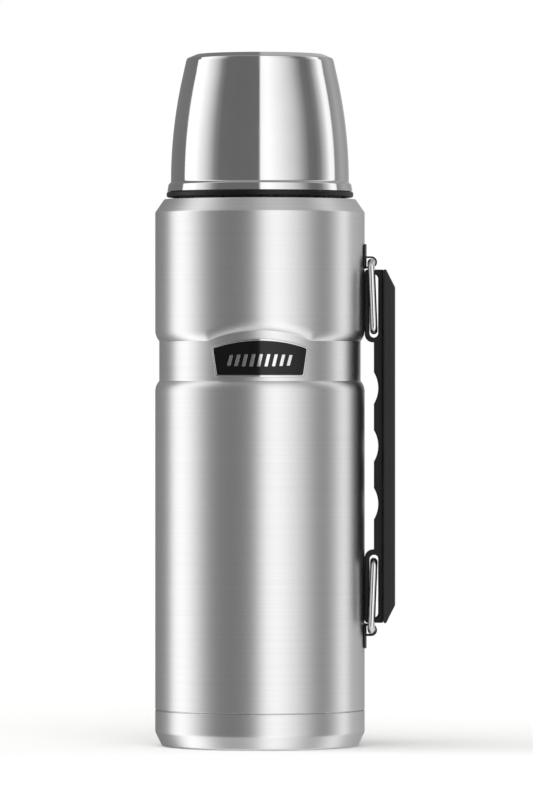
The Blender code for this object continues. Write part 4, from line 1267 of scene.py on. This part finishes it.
@dataclass
class Handle:
    """The grip with its slotted lobes and finger hollows, and the soft cover on its back."""

    lobe_length: float = 33.3
    lobe_round: float = 3.8
    lobe_pad: float = 0.3
    back_round: float = 0.3
    end_round: float = 1.0
    inner_step: float = 3.9
    slot_end_wall: float = 2.0
    slot_length: float = 29.1
    slot_width: float = 4.1
    slot_from_face: float = 3.8
    hollows: int = 3
    hollow_radius: float = 14.1
    hollow_land: float = 12.1
    hollow_margin: float = 7.65
    grip_round: float = 0.4
    arc_steps: int = 20
    shelf: float = 4.2
    shelf_round: float = 0.5
    foot_round: float = 0.15
    chamfer_length: float = 8.0
    chamfer_round: float = 2.5
    cover_edge: float = 0.3
    cover_round: float = 1.7
    cover_crown: float = 0.5
    cover_spans: int = 48

    def __post_init__(self) -> None:
        """Reads the handle's box from the frame."""
        self.cover_box = corners_of("handle_cover")
        (self.left, _, low), (_, self.half_width, high) = corners_of("handle_grip")
        self.middle, self.half = (low + high) / 2, (high - low) / 2
        self.inner = self.left + self.inner_step
        self.back = self.cover_box[0, 0] - GAP

    def lobe(self, end: End) -> list[Corner]:
        """Corners of the lobe at one end, running downwards.

        Args:
            end: The lobe's end of the handle.

        Returns:
            Rows of x, level and fillet.
        """
        way = end.value
        tip = self.middle + way * self.half
        inner_end = tip - way * self.lobe_length
        face = self.left - self.lobe_pad
        corners = [(self.back, tip, self.back_round), (face, tip, self.end_round),
                   (face, inner_end, self.lobe_round), (self.inner, inner_end, 0.0)]
        return corners[::way]

    def finger_hollows(self) -> np.ndarray:
        """Corners of the finger hollows from top to bottom, each an arc whose chord is on the grip's face.

        Returns:
            Rows of x, level and fillet.
        """
        pitch = 2 * (self.half - self.lobe_length - self.hollow_margin) / self.hollows
        reach = math.asin((pitch - self.hollow_land) / 2 / self.hollow_radius)
        centre = self.inner - self.hollow_radius * math.cos(reach)
        levels = self.middle + pitch * ((self.hollows - 1) / 2 - np.arange(self.hollows))
        arcs = [arc((centre, level), self.hollow_radius, reach, -reach, self.arc_steps) for level in levels]
        return np.insert(np.concatenate(arcs), 2, 0.0, axis=1)

    def slot_outline(self, end: End) -> np.ndarray:
        """The slot that the bail's bar slides in: two half circles and their tangents.

        Args:
            end: The slot's end of the handle.

        Returns:
            (n, 2) points of x and level.
        """
        centre = self.middle + end.value * (self.half - self.slot_end_wall - self.slot_length / 2)
        reach, radius = (self.slot_length - self.slot_width) / 2, self.slot_width / 2
        x = self.left + self.slot_from_face
        return np.concatenate([arc((x, centre + reach), radius, 0, HALF_TURN, self.arc_steps),
                               arc((x, centre - reach), radius, HALF_TURN, FULL_TURN, self.arc_steps)])

    def cover_outline(self) -> np.ndarray:
        """The cover's side: a straight back with a long chamfer at each end.

        Returns:
            (n, 2) points of x and level.
        """
        (inner, _, low), (outer, _, high) = self.cover_box
        half = [(inner, low, self.foot_round), (outer - self.shelf, low, self.shelf_round),
                (outer, low + self.chamfer_length, self.chamfer_round)]
        mirrored = [(x, low + high - level, fillet) for x, level, fillet in half[::-1]]
        return rounded(half + mirrored, steps=8)

    def crowned(self, points: np.ndarray) -> np.ndarray:
        """Stands the cover up and crowns its back.

        The back falls with the square of y, and near each side along a quarter circle as well. Both falls
        shrink towards the cover's inner face.

        Args:
            points: (n, 3) points of x, level and depth.

        Returns:
            The points (x, y, z).
        """
        (inner, _, _), (outer, half, _) = self.cover_box
        stood = upright(points)
        share = (stood[:, 0] - inner) / (outer - inner)
        away = np.abs(stood[:, 1])
        into = np.clip(away - (half - self.cover_round), 0, self.cover_round)
        fall = self.cover_round - np.sqrt(self.cover_round**2 - into**2)
        stood[:, 0] -= share * (fall + self.cover_crown * (away / half) ** 2)
        return stood

    def build(self) -> None:
        """Makes the grip and the cover."""
        outline = np.concatenate([self.lobe(End.UPPER), self.finger_hollows(), self.lobe(End.LOWER)])
        slab = Slab(-self.half_width, self.half_width, self.grip_round)
        grip = slab.cut(rounded(outline, steps=10), [self.slot_outline(end) for end in End])
        add_piece("handle_grip_moulding", grip.moved(upright), BLACK_PLASTIC, Body.HANDLE, "handle_grip")
        half = self.cover_box[1, 1]
        slab = Slab(-half, half, self.cover_edge, spans=self.cover_spans)
        cover = slab.cut(self.cover_outline()).moved(self.crowned)
        add_piece("handle_cover_moulding", cover, SOFT_TOUCH, Body.HANDLE, "handle_cover")


@dataclass
class Cup:
    """The cup that screws over the neck: a polished shell, its plastic lining and the ring under it."""

    bore: float
    thread: Thread
    sheet: float = 0.6
    rim_height: float = 3.4
    rim_taper: float = 0.5
    rim_step: float = 1.1
    rim_round: float = 0.45
    foot_round: float = 0.9
    wall_drop: float = 3.8
    taper: float = 6.9
    wall_round: float = 1.6
    edge_rise: float = 0.6
    edge_inset: float = 0.5
    edge_round: float = 0.8
    bevel_inset: float = 5.0
    bevel_height: float = 1.9
    bevel_round: float = 2.5
    air_gap: float = 1.6
    liner_wall: float = 1.6
    sleeve_height: float = 17.3
    sleeve_lean: float = 0.1
    sleeve_outer_shoulder: float = 2.0
    sleeve_inner_shoulder: float = 3.0
    sleeve_edge: float = 0.4
    sleeve_outer_round: float = 0.8
    sleeve_inner_round: float = 1.0
    neck: float = 1.0
    ceiling_drop: float = 5.0
    crown_lean: float = 1.0
    crown_round: float = 2.0
    crown_outer_reach: float = 5.0
    crown_inner_reach: float = 4.5
    thread_nearness: float = 0.2
    fine_step: float = 0.4
    liner_columns: int = 240
    ring_play: float = 0.4
    ring_hole_round: float = 0.3
    ring_low_round: float = 0.9
    ring_high_round: float = 0.7
    columns: int = 288

    def __post_init__(self) -> None:
        """Reads the cup's levels and radii from the frame."""
        self.rim_bottom, self.top, self.rim_radius = span_of("cup_shell")
        self.rim_top = self.rim_bottom - GAP + self.rim_height
        self.wall_radius = self.rim_radius - self.rim_taper - self.rim_step
        self.wall_bottom = self.rim_top + self.rim_step
        self.wall_top = self.top - self.wall_drop

    def wall(self, inset: float, steps: int, low: float, high: float) -> np.ndarray:
        """The tapering wall between two levels.

        An arc that starts upright at the wall's foot and has come in by the taper at its top, so its
        radius is (rise squared + taper squared) / (2 taper).

        Args:
            inset: How far inside the outer surface.
            steps: The number of steps in the arc.
            low: The lowest level.
            high: The highest level.

        Returns:
            (steps + 1, 2) points from low to high.
        """
        rise = self.wall_top - self.wall_bottom
        radius = (rise**2 + self.taper**2) / (2 * self.taper)
        first, last = (math.asin((level - self.wall_bottom) / radius) for level in (low, high))
        return arc((self.wall_radius - radius, self.wall_bottom), radius - inset, first, last, steps)

    def shell_side(self, inset: float) -> np.ndarray:
        """The shell's line from the rim's foot to the axis, at an inset.

        Args:
            inset: How far it lies inside the outer surface.

        Returns:
            (n, 2) points of radius and level.
        """
        wall = self.wall(inset, 24, self.wall_bottom, self.wall_top)
        crown, shrink, rim = self.wall_radius - self.taper, inset / 2, self.rim_radius - inset
        foot = rounded([
            (rim, self.rim_bottom, 0), (rim - self.rim_taper, self.rim_top - shrink, self.rim_round),
            (*wall[0], self.foot_round), (*wall[2], 0), (0, self.rim_bottom, 0),
        ])[:-2]
        head = rounded([
            (0, self.rim_bottom, 0), (*wall[-3], 0),
            (crown - inset, self.wall_top + self.edge_rise, self.wall_round),
            (crown - self.edge_inset - inset, self.top - self.bevel_height - shrink, self.edge_round),
            (crown - self.bevel_inset, self.top - inset, self.bevel_round), (0, self.top - inset, 0),
        ])[2:]
        return np.concatenate([foot, wall[2:-2], head])

    def liner_side(self, foot: Sequence[Corner], inset: float, roof: float, reach: float) -> np.ndarray:
        """One face of the lining, from its mouth to the axis.

        Args:
            foot: The corners of its sleeve.
            inset: How far the face lies inside the shell's outer surface.
            roof: The level of its middle.
            reach: How far the roof's flat ends inside the wall's top.

        Returns:
            (n, 2) points of radius and level.
        """
        low, ceiling, _ = span_of("cup_liner")
        sleeve_top = low - GAP + self.sleeve_height
        wall = self.wall(inset, 12, sleeve_top + self.neck, ceiling - self.ceiling_drop)
        sleeve = rounded([*foot, (*wall[0], 0), (0, low, 0)])[:-2]
        top = wall[-1, 0]
        crown = rounded([(*wall[-1], 0), (top - self.crown_lean, roof - self.crown_round, self.crown_round),
                         (top - reach, roof, self.crown_round), (0, roof, 0), (0, 0, 0)])[1:-1]
        return np.concatenate([sleeve, wall, crown])

    def liner_outline(self) -> np.ndarray:
        """The lining's half section, with a thicker sleeve at its mouth.

        Returns:
            (n, 2) points of radius and level.
        """
        low, ceiling, radius = span_of("cup_liner")
        sleeve_top, inset = low - GAP + self.sleeve_height, self.sheet + self.air_gap
        lean = radius - self.sleeve_lean
        foot = [(radius, low, self.sleeve_edge),
                (lean, sleeve_top - self.sleeve_outer_shoulder, self.sleeve_outer_round)]
        outside = self.liner_side(foot, inset, ceiling, self.crown_outer_reach)
        foot = [(self.bore, low, self.sleeve_edge),
                (self.bore, sleeve_top - self.sleeve_inner_shoulder, self.sleeve_inner_round)]
        inside = self.liner_side(foot, inset + self.liner_wall, ceiling - self.liner_wall,
                                 self.crown_inner_reach)
        return np.concatenate([outside, inside[::-1]])

    def build(self) -> None:
        """Makes the shell, the lining and the ring."""
        outline = np.concatenate([self.shell_side(0.0), self.shell_side(self.sheet)[::-1]])
        shell = turned(outline, columns=self.columns)
        add_piece("cup_shell_skin", shell, POLISHED_STEEL, Body.CUP, "cup_shell")
        low = span_of("cup_liner")[0]
        fineness = Fineness(fine_step=self.fine_step, fine_from=low, fine_to=low + self.sleeve_height)
        thread = BoreThread(self.thread, self.bore, self.thread_nearness)
        liner = turned(self.liner_outline(), fineness, self.liner_columns, thread)
        add_piece("cup_lining", liner, LINER_PLASTIC, Body.CUP, "cup_liner")
        low, high, radius = span_of("cup_ring")
        hole = self.bore + self.ring_play
        ring = rounded([(hole, low, self.ring_hole_round), (radius, low, self.ring_low_round),
                        (radius, high, self.ring_high_round), (hole, high, self.ring_hole_round)])
        add_piece("cup_ring_moulding", turned(ring, columns=self.columns), RING_RUBBER, Body.CUP_LIFTER,
                  "cup_ring")


@dataclass
class Stopper:
    """The screw stopper: a threaded barrel, a ribbed knob, foam inside, and a seal held by a disc."""

    radius: float
    seat: float
    lip: float
    thread: Thread
    wall: float = 2.2
    boss: float = 6.0
    seal_width: float = 5.6
    overhang: float = 3.5
    collar: float = 4.5
    ribs: int = 20
    rib_height: float = 1.1
    rib_half_width: float = 1.3
    rib_low_margin: float = 2.5
    rib_high_margin: float = 4.5
    rib_fade: float = 0.8
    knob_round: float = 3.0
    hollow_inset: float = 8.5
    hollow_depth: float = 0.6
    hollow_round: float = 1.5
    channel_half_width: float = 5.5
    channel_depth: float = 1.2
    seal_taper: float = 2.5
    seal_band: float = 1.2
    foam_round: float = 0.5

    def __post_init__(self) -> None:
        """Reads the stopper's levels from the frame."""
        self.spigot_low, self.top, _ = span_of("stopper_body")
        self.seal_low, self.seal_high, _ = span_of("stopper_seal")
        self.bottom = self.seal_high + GAP
        self.knob_top = span_of("stopper_knob")[1]
        self.knob_radius = self.radius + self.overhang

    def body_outline(self) -> np.ndarray:
        """The barrel's half section over its hollow spigot.

        Returns:
            (n, 2) points of radius and level.
        """
        bore, hole, spigot = self.radius - self.wall, self.boss + GAP, self.seat - self.seal_width
        bottom, floor, low = self.bottom, self.bottom + self.wall, self.spigot_low
        return rounded([
            (0, bottom, 0), (hole, bottom, 0.1), (hole, low, 0.2), (spigot, low, 0.3), (spigot, bottom, 0.1),
            (self.radius, bottom, 0.5), (self.radius, self.top, 0.3), (bore, self.top, 0.3),
            (bore, floor, 0.5), (0, floor, 0),
        ])

    def knob_outline(self) -> np.ndarray:
        """The knob's half section: a shallow cap with a collar that plugs into the barrel.

        Returns:
            (n, 2) points of radius and level.
        """
        low, top, outer = self.top + GAP, self.knob_top, self.knob_radius
        collar = self.radius - self.wall - GAP
        inside, under, hollow = collar - self.wall, top - self.wall, outer - self.hollow_inset
        return rounded([
            (0, under, 0), (inside, under, 0.5), (inside, low - self.collar, 0.2),
            (collar, low - self.collar, 0.3), (collar, low, 0.2), (outer, low, 0.8),
            (outer, top, self.knob_round), (hollow + 1.5, top, self.hollow_round),
            (hollow, top - self.hollow_depth, self.hollow_round), (0, top - self.hollow_depth, 0),
        ])

    def channelled(self, radius: np.ndarray, azimuth: np.ndarray, level: np.ndarray) -> Pair:
        """The relief of the barrel's thread, cut away by a flat pour channel on each side.

        Args:
            radius: The points' radii.
            azimuth: Their azimuths.
            level: Their levels.

        Returns:
            The new radii and the levels.
        """
        outer = np.abs(radius - self.radius) < 0.6
        radius = radius + np.where(outer, self.thread.rise(azimuth, level), 0)
        flat = (self.radius - self.channel_depth) / np.maximum(np.abs(np.sin(azimuth)), 0.5)
        across = np.abs(radius * np.cos(azimuth))
        in_channel = outer & (across < self.channel_half_width) & (level < self.lip)
        return np.where(in_channel, np.minimum(radius, flat), radius), level

    def ribbed(self, radius: np.ndarray, azimuth: np.ndarray, level: np.ndarray) -> Pair:
        """The relief of the knob's ribs, eased at their sides and ends.

        Args:
            radius: The points' radii.
            azimuth: Their azimuths.
            level: Their levels.

        Returns:
            The new radii and the levels.
        """
        pitch = FULL_TURN / self.ribs
        away = np.abs((azimuth + pitch / 2) % pitch - pitch / 2) * self.knob_radius
        low, high = self.top + GAP + self.rib_low_margin, self.knob_top - self.rib_high_margin
        ends = eased(np.minimum(level - low, high - level) / self.rib_fade + 0.5)
        rib = self.rib_height * eased(1 - away / self.rib_half_width) * ends
        return np.where(np.abs(radius - self.knob_radius) < 0.05, radius + rib, radius), level

    def seal_outline(self) -> np.ndarray:
        """The tapered silicone ring's half section."""
        low, high, bore = self.seal_low, self.seal_high, self.seat - self.seal_width + GAP
        return rounded([(bore, low, 0.2), (self.radius - self.seal_taper, low, 0.6),
                        (self.radius, high - self.seal_band, 0.4), (self.radius, high, 0.3),
                        (bore, high, 0.2)])

    def retainer_outline(self) -> np.ndarray:
        """The half section of the disc and boss that keep the seal on."""
        low, boss_top, radius = span_of("seal_retainer")
        high = self.seal_low - GAP
        return rounded([(0, low, 0), (radius, low, 0.8), (radius, high, 0.3), (self.boss, high, 0.1),
                        (self.boss, boss_top, 0.4), (0, boss_top, 0)])

    def build(self) -> None:
        """Makes the stopper's pieces."""
        fine_barrel = Fineness(fine_step=0.4, fine_from=self.bottom, fine_to=self.lip)
        fine_knob = Fineness(fine_step=0.7, fine_from=self.top, fine_to=self.knob_top)
        barrel = turned(self.body_outline(), fine_barrel, 360, self.channelled)
        knob = turned(self.knob_outline(), fine_knob, 480, self.ribbed)
        seal, retainer = turned(self.seal_outline()), turned(self.retainer_outline())
        foam = disc("stopper_foam", self.foam_round, 128)
        stopper = Body.STOPPER
        add_piece("stopper_barrel", barrel, BLACK_PLASTIC, stopper, "stopper_body")
        add_piece("stopper_knob_moulding", knob, BLACK_PLASTIC, stopper, "stopper_knob")
        add_piece("stopper_foam_disc", foam, CUT_FOAM, stopper, "stopper_foam")
        add_piece("stopper_seal_ring", seal, SILICONE, Body.STOPPER_LIFTER, "stopper_seal")
        add_piece("seal_retainer_disc", retainer, LINER_PLASTIC, stopper, "seal_retainer")


# Studio


@dataclass
class Studio:
    """A plain white sweep, a dome of soft boxes standing round the object, and the camera."""

    distance: float = 3.30
    eye_level: float = 0.173
    frame_height: float = 0.3667
    sensor: float = 36.0
    side_step: float = 0.003
    floor_size: float = 6.0
    floor_shade: str = "#F7F7F6"
    floor_roughness: float = 0.9
    blank: float = 1.0
    overhead: float = 0.42
    overhead_fade: Span = (0.72, 0.97)
    below: float = 0.95
    below_fade: Span = (-0.7, -0.95)
    ground_gain: float = 1.3
    ground_fade: Span = (-0.3, -0.8)
    fill_strength: float = 1.9
    fill_angle: float = 70.0
    fill_tilt: Span = (18.0, -12.0)

    # The dome's strips by azimuth from the camera, in degrees, positive to the right, with their light.
    STRIPS = (
        (-180.0, 0.24), (-115.2, 0.24), (-114.0, 1.58), (-93.0, 1.58), (-87.4, 1.39), (-78.0, 1.08),
        (-69.7, 0.72), (-61.5, 0.34), (-54.0, 0.21), (-30.0, 0.20), (-0.6, 0.21), (0.6, 1.45),
        (9.5, 1.60), (16.4, 1.50), (30.4, 1.23), (44.9, 0.91), (52.1, 0.70), (59.8, 0.45),
        (68.0, 0.23), (78.0, 0.21), (85.4, 0.30), (95.0, 0.78), (104.0, 1.46), (113.0, 1.42),
        (114.5, 0.34), (133.0, 0.54), (155.0, 0.40), (179.9, 0.60),
    )

    def strips(self, tree: bpy.types.NodeTree, way: bpy.types.NodeSocket,
               height: bpy.types.NodeSocket) -> bpy.types.NodeSocket:
        """The light of the upright strips, looked up by the azimuth of the direction and raised low down.

        Args:
            tree: The world's tree.
            way: The azimuth, from minus half a turn to half a turn.
            height: The direction's Z.

        Returns:
            The light.
        """
        share = add_node(tree, "ShaderNodeMapRange", {
            "Value": way, "From Min": -HALF_TURN, "From Max": HALF_TURN})
        ramp = add_node(tree, "ShaderNodeValToRGB", {"Fac": share.outputs[0]})
        stops = ramp.color_ramp.elements
        brightest = max(light for _, light in self.STRIPS)
        while len(stops) < len(self.STRIPS):
            stops.new(1.0)
        for stop, (degrees, light) in zip(stops, self.STRIPS):
            stop.position = (degrees + 180) / 360
            stop.color = (*[light / brightest] * 3, 1.0)
        gain = add_node(tree, "ShaderNodeMapRange", {
            "Value": height, "From Min": self.ground_fade[0], "From Max": self.ground_fade[1],
            "To Min": brightest, "To Max": brightest * self.ground_gain}, interpolation_type="SMOOTHSTEP")
        return add_node(tree, "ShaderNodeMath", {0: ramp.outputs[0], 1: gain.outputs[0]},
                        operation="MULTIPLY").outputs[0]

    def build_dome(self) -> None:
        """Lights the world with strips that fade to a plain ceiling and ground, and shows plain white."""
        world = bpy.data.worlds.new("studio_dome")
        bpy.context.scene.world = world
        world.use_nodes = True
        tree = world.node_tree
        tree.nodes.clear()
        way = add_node(tree, "ShaderNodeTexCoord").outputs["Generated"]
        parts = add_node(tree, "ShaderNodeSeparateXYZ", {"Vector": way}).outputs
        towards = add_node(tree, "ShaderNodeMath", {0: parts["Y"], 1: -1.0}, operation="MULTIPLY").outputs[0]
        azimuth = add_node(tree, "ShaderNodeMath", {0: parts["X"], 1: towards}, operation="ARCTAN2")
        light = self.strips(tree, azimuth.outputs[0], parts["Z"])
        shares = []
        for start, end in (self.overhead_fade, self.below_fade):
            fade = {"Value": parts["Z"], "From Min": start, "From Max": end}
            node = add_node(tree, "ShaderNodeMapRange", fade, interpolation_type="SMOOTHSTEP")
            shares.append(node.outputs[0])
        shares.append(add_node(tree, "ShaderNodeLightPath").outputs["Is Camera Ray"])
        for share, plain in zip(shares, (self.overhead, self.below, self.blank)):
            mix = add_node(tree, "ShaderNodeMix", {0: share, 2: light, 3: plain}, data_type="FLOAT")
            light = mix.outputs[0]
        background = add_node(tree, "ShaderNodeBackground", {"Color": light, "Strength": 1.0})
        add_node(tree, "ShaderNodeOutputWorld", {"Surface": background.outputs[0]})

    def build_fill(self) -> None:
        """Adds a broad soft fill from above that only matt surfaces see."""
        light = bpy.data.lights.new("fill", "SUN")
        light.energy = self.fill_strength
        light.angle = math.radians(self.fill_angle)
        fill = bpy.data.objects.new("fill", light)
        fill.rotation_euler = (*np.radians(self.fill_tilt), 0)
        fill.visible_glossy = False
        fill.visible_camera = False
        bpy.context.scene.collection.objects.link(fill)

    def build_floor(self) -> None:
        """Lays the pale floor. Mirrors see past it to the dome's plain ground."""
        half = self.floor_size / 2
        mesh = bpy.data.meshes.new("floor")
        mesh.from_pydata([(-half, -half, 0), (half, -half, 0), (half, half, 0), (-half, half, 0)], [],
                         [(0, 1, 2, 3)])
        material = bpy.data.materials.new("paper_sweep_white")
        material.use_nodes = True
        shader = material.node_tree.nodes["Principled BSDF"]
        shader.inputs["Base Color"].default_value = colour(self.floor_shade)
        shader.inputs["Roughness"].default_value = self.floor_roughness
        mesh.materials.append(material)
        floor = bpy.data.objects.new("floor", mesh)
        floor.visible_glossy = False
        bpy.context.scene.collection.objects.link(floor)

    def build_camera(self) -> None:
        """Sets the camera level in front, with a long lens, shifted to frame the whole object."""
        low, high = CAD_BOX
        camera = bpy.data.cameras.new("camera")
        camera.sensor_width = self.sensor
        camera.lens = self.sensor * self.distance / self.frame_height
        camera.shift_y = ((low.z + high.z) / 2 - self.eye_level) / self.frame_height
        holder = bpy.data.objects.new("camera", camera)
        holder.location = (self.side_step, -self.distance, self.eye_level)
        holder.rotation_euler = (QUARTER, 0, 0)
        bpy.context.scene.collection.objects.link(holder)
        bpy.context.scene.camera = holder

    def build(self) -> None:
        """Builds the studio round the object."""
        self.build_dome()
        self.build_fill()
        self.build_floor()
        self.build_camera()
        bpy.context.scene.view_settings.view_transform = "Standard"


def main() -> None:
    """Builds every sub-assembly in order."""
    logging.basicConfig(level=logging.INFO, format="%(name)s: %(message)s")
    thread_step = 2.3  # between a thread and the one that it runs in
    run_gap = 0.4
    lip_width = 9.0
    thread_foot = 1.5
    thread_drop = 14.0
    cup_thread = Thread(span_of("cup_liner")[0] + thread_foot)
    outer = OuterBody(Thread(cup_thread.start + thread_step))
    mouth = outer.neck_radius - lip_width
    mouth_thread = Thread(outer.lip - thread_drop)
    vessel = VacuumVessel(mouth, mouth_thread)
    barrel = mouth - mouth_thread.height - 2 * run_gap
    outer.build()
    Cup(outer.neck_radius + cup_thread.height + run_gap, cup_thread).build()
    vessel.build()
    Stopper(barrel, mouth - vessel.seat_width, outer.lip, Thread(mouth_thread.start - thread_step)).build()
    Badge().build()
    hinge, bar, lower = (joint_at(name) for name in ("handle_swing", "handle_level", "lower_bail_swing"))
    lower_bar = (bar[0], hinge[1] + lower[1] - bar[1])
    bails = ((End.UPPER, hinge, bar), (End.LOWER, lower, lower_bar))
    for end, axis, _ in bails:
        Bracket(end).build(outer.radius, axis)
    for end, axis, sliding in bails:
        Bail(end).build(axis, sliding)
    Handle().build()
    Studio().build()


if __name__ == "__main__":
    main()
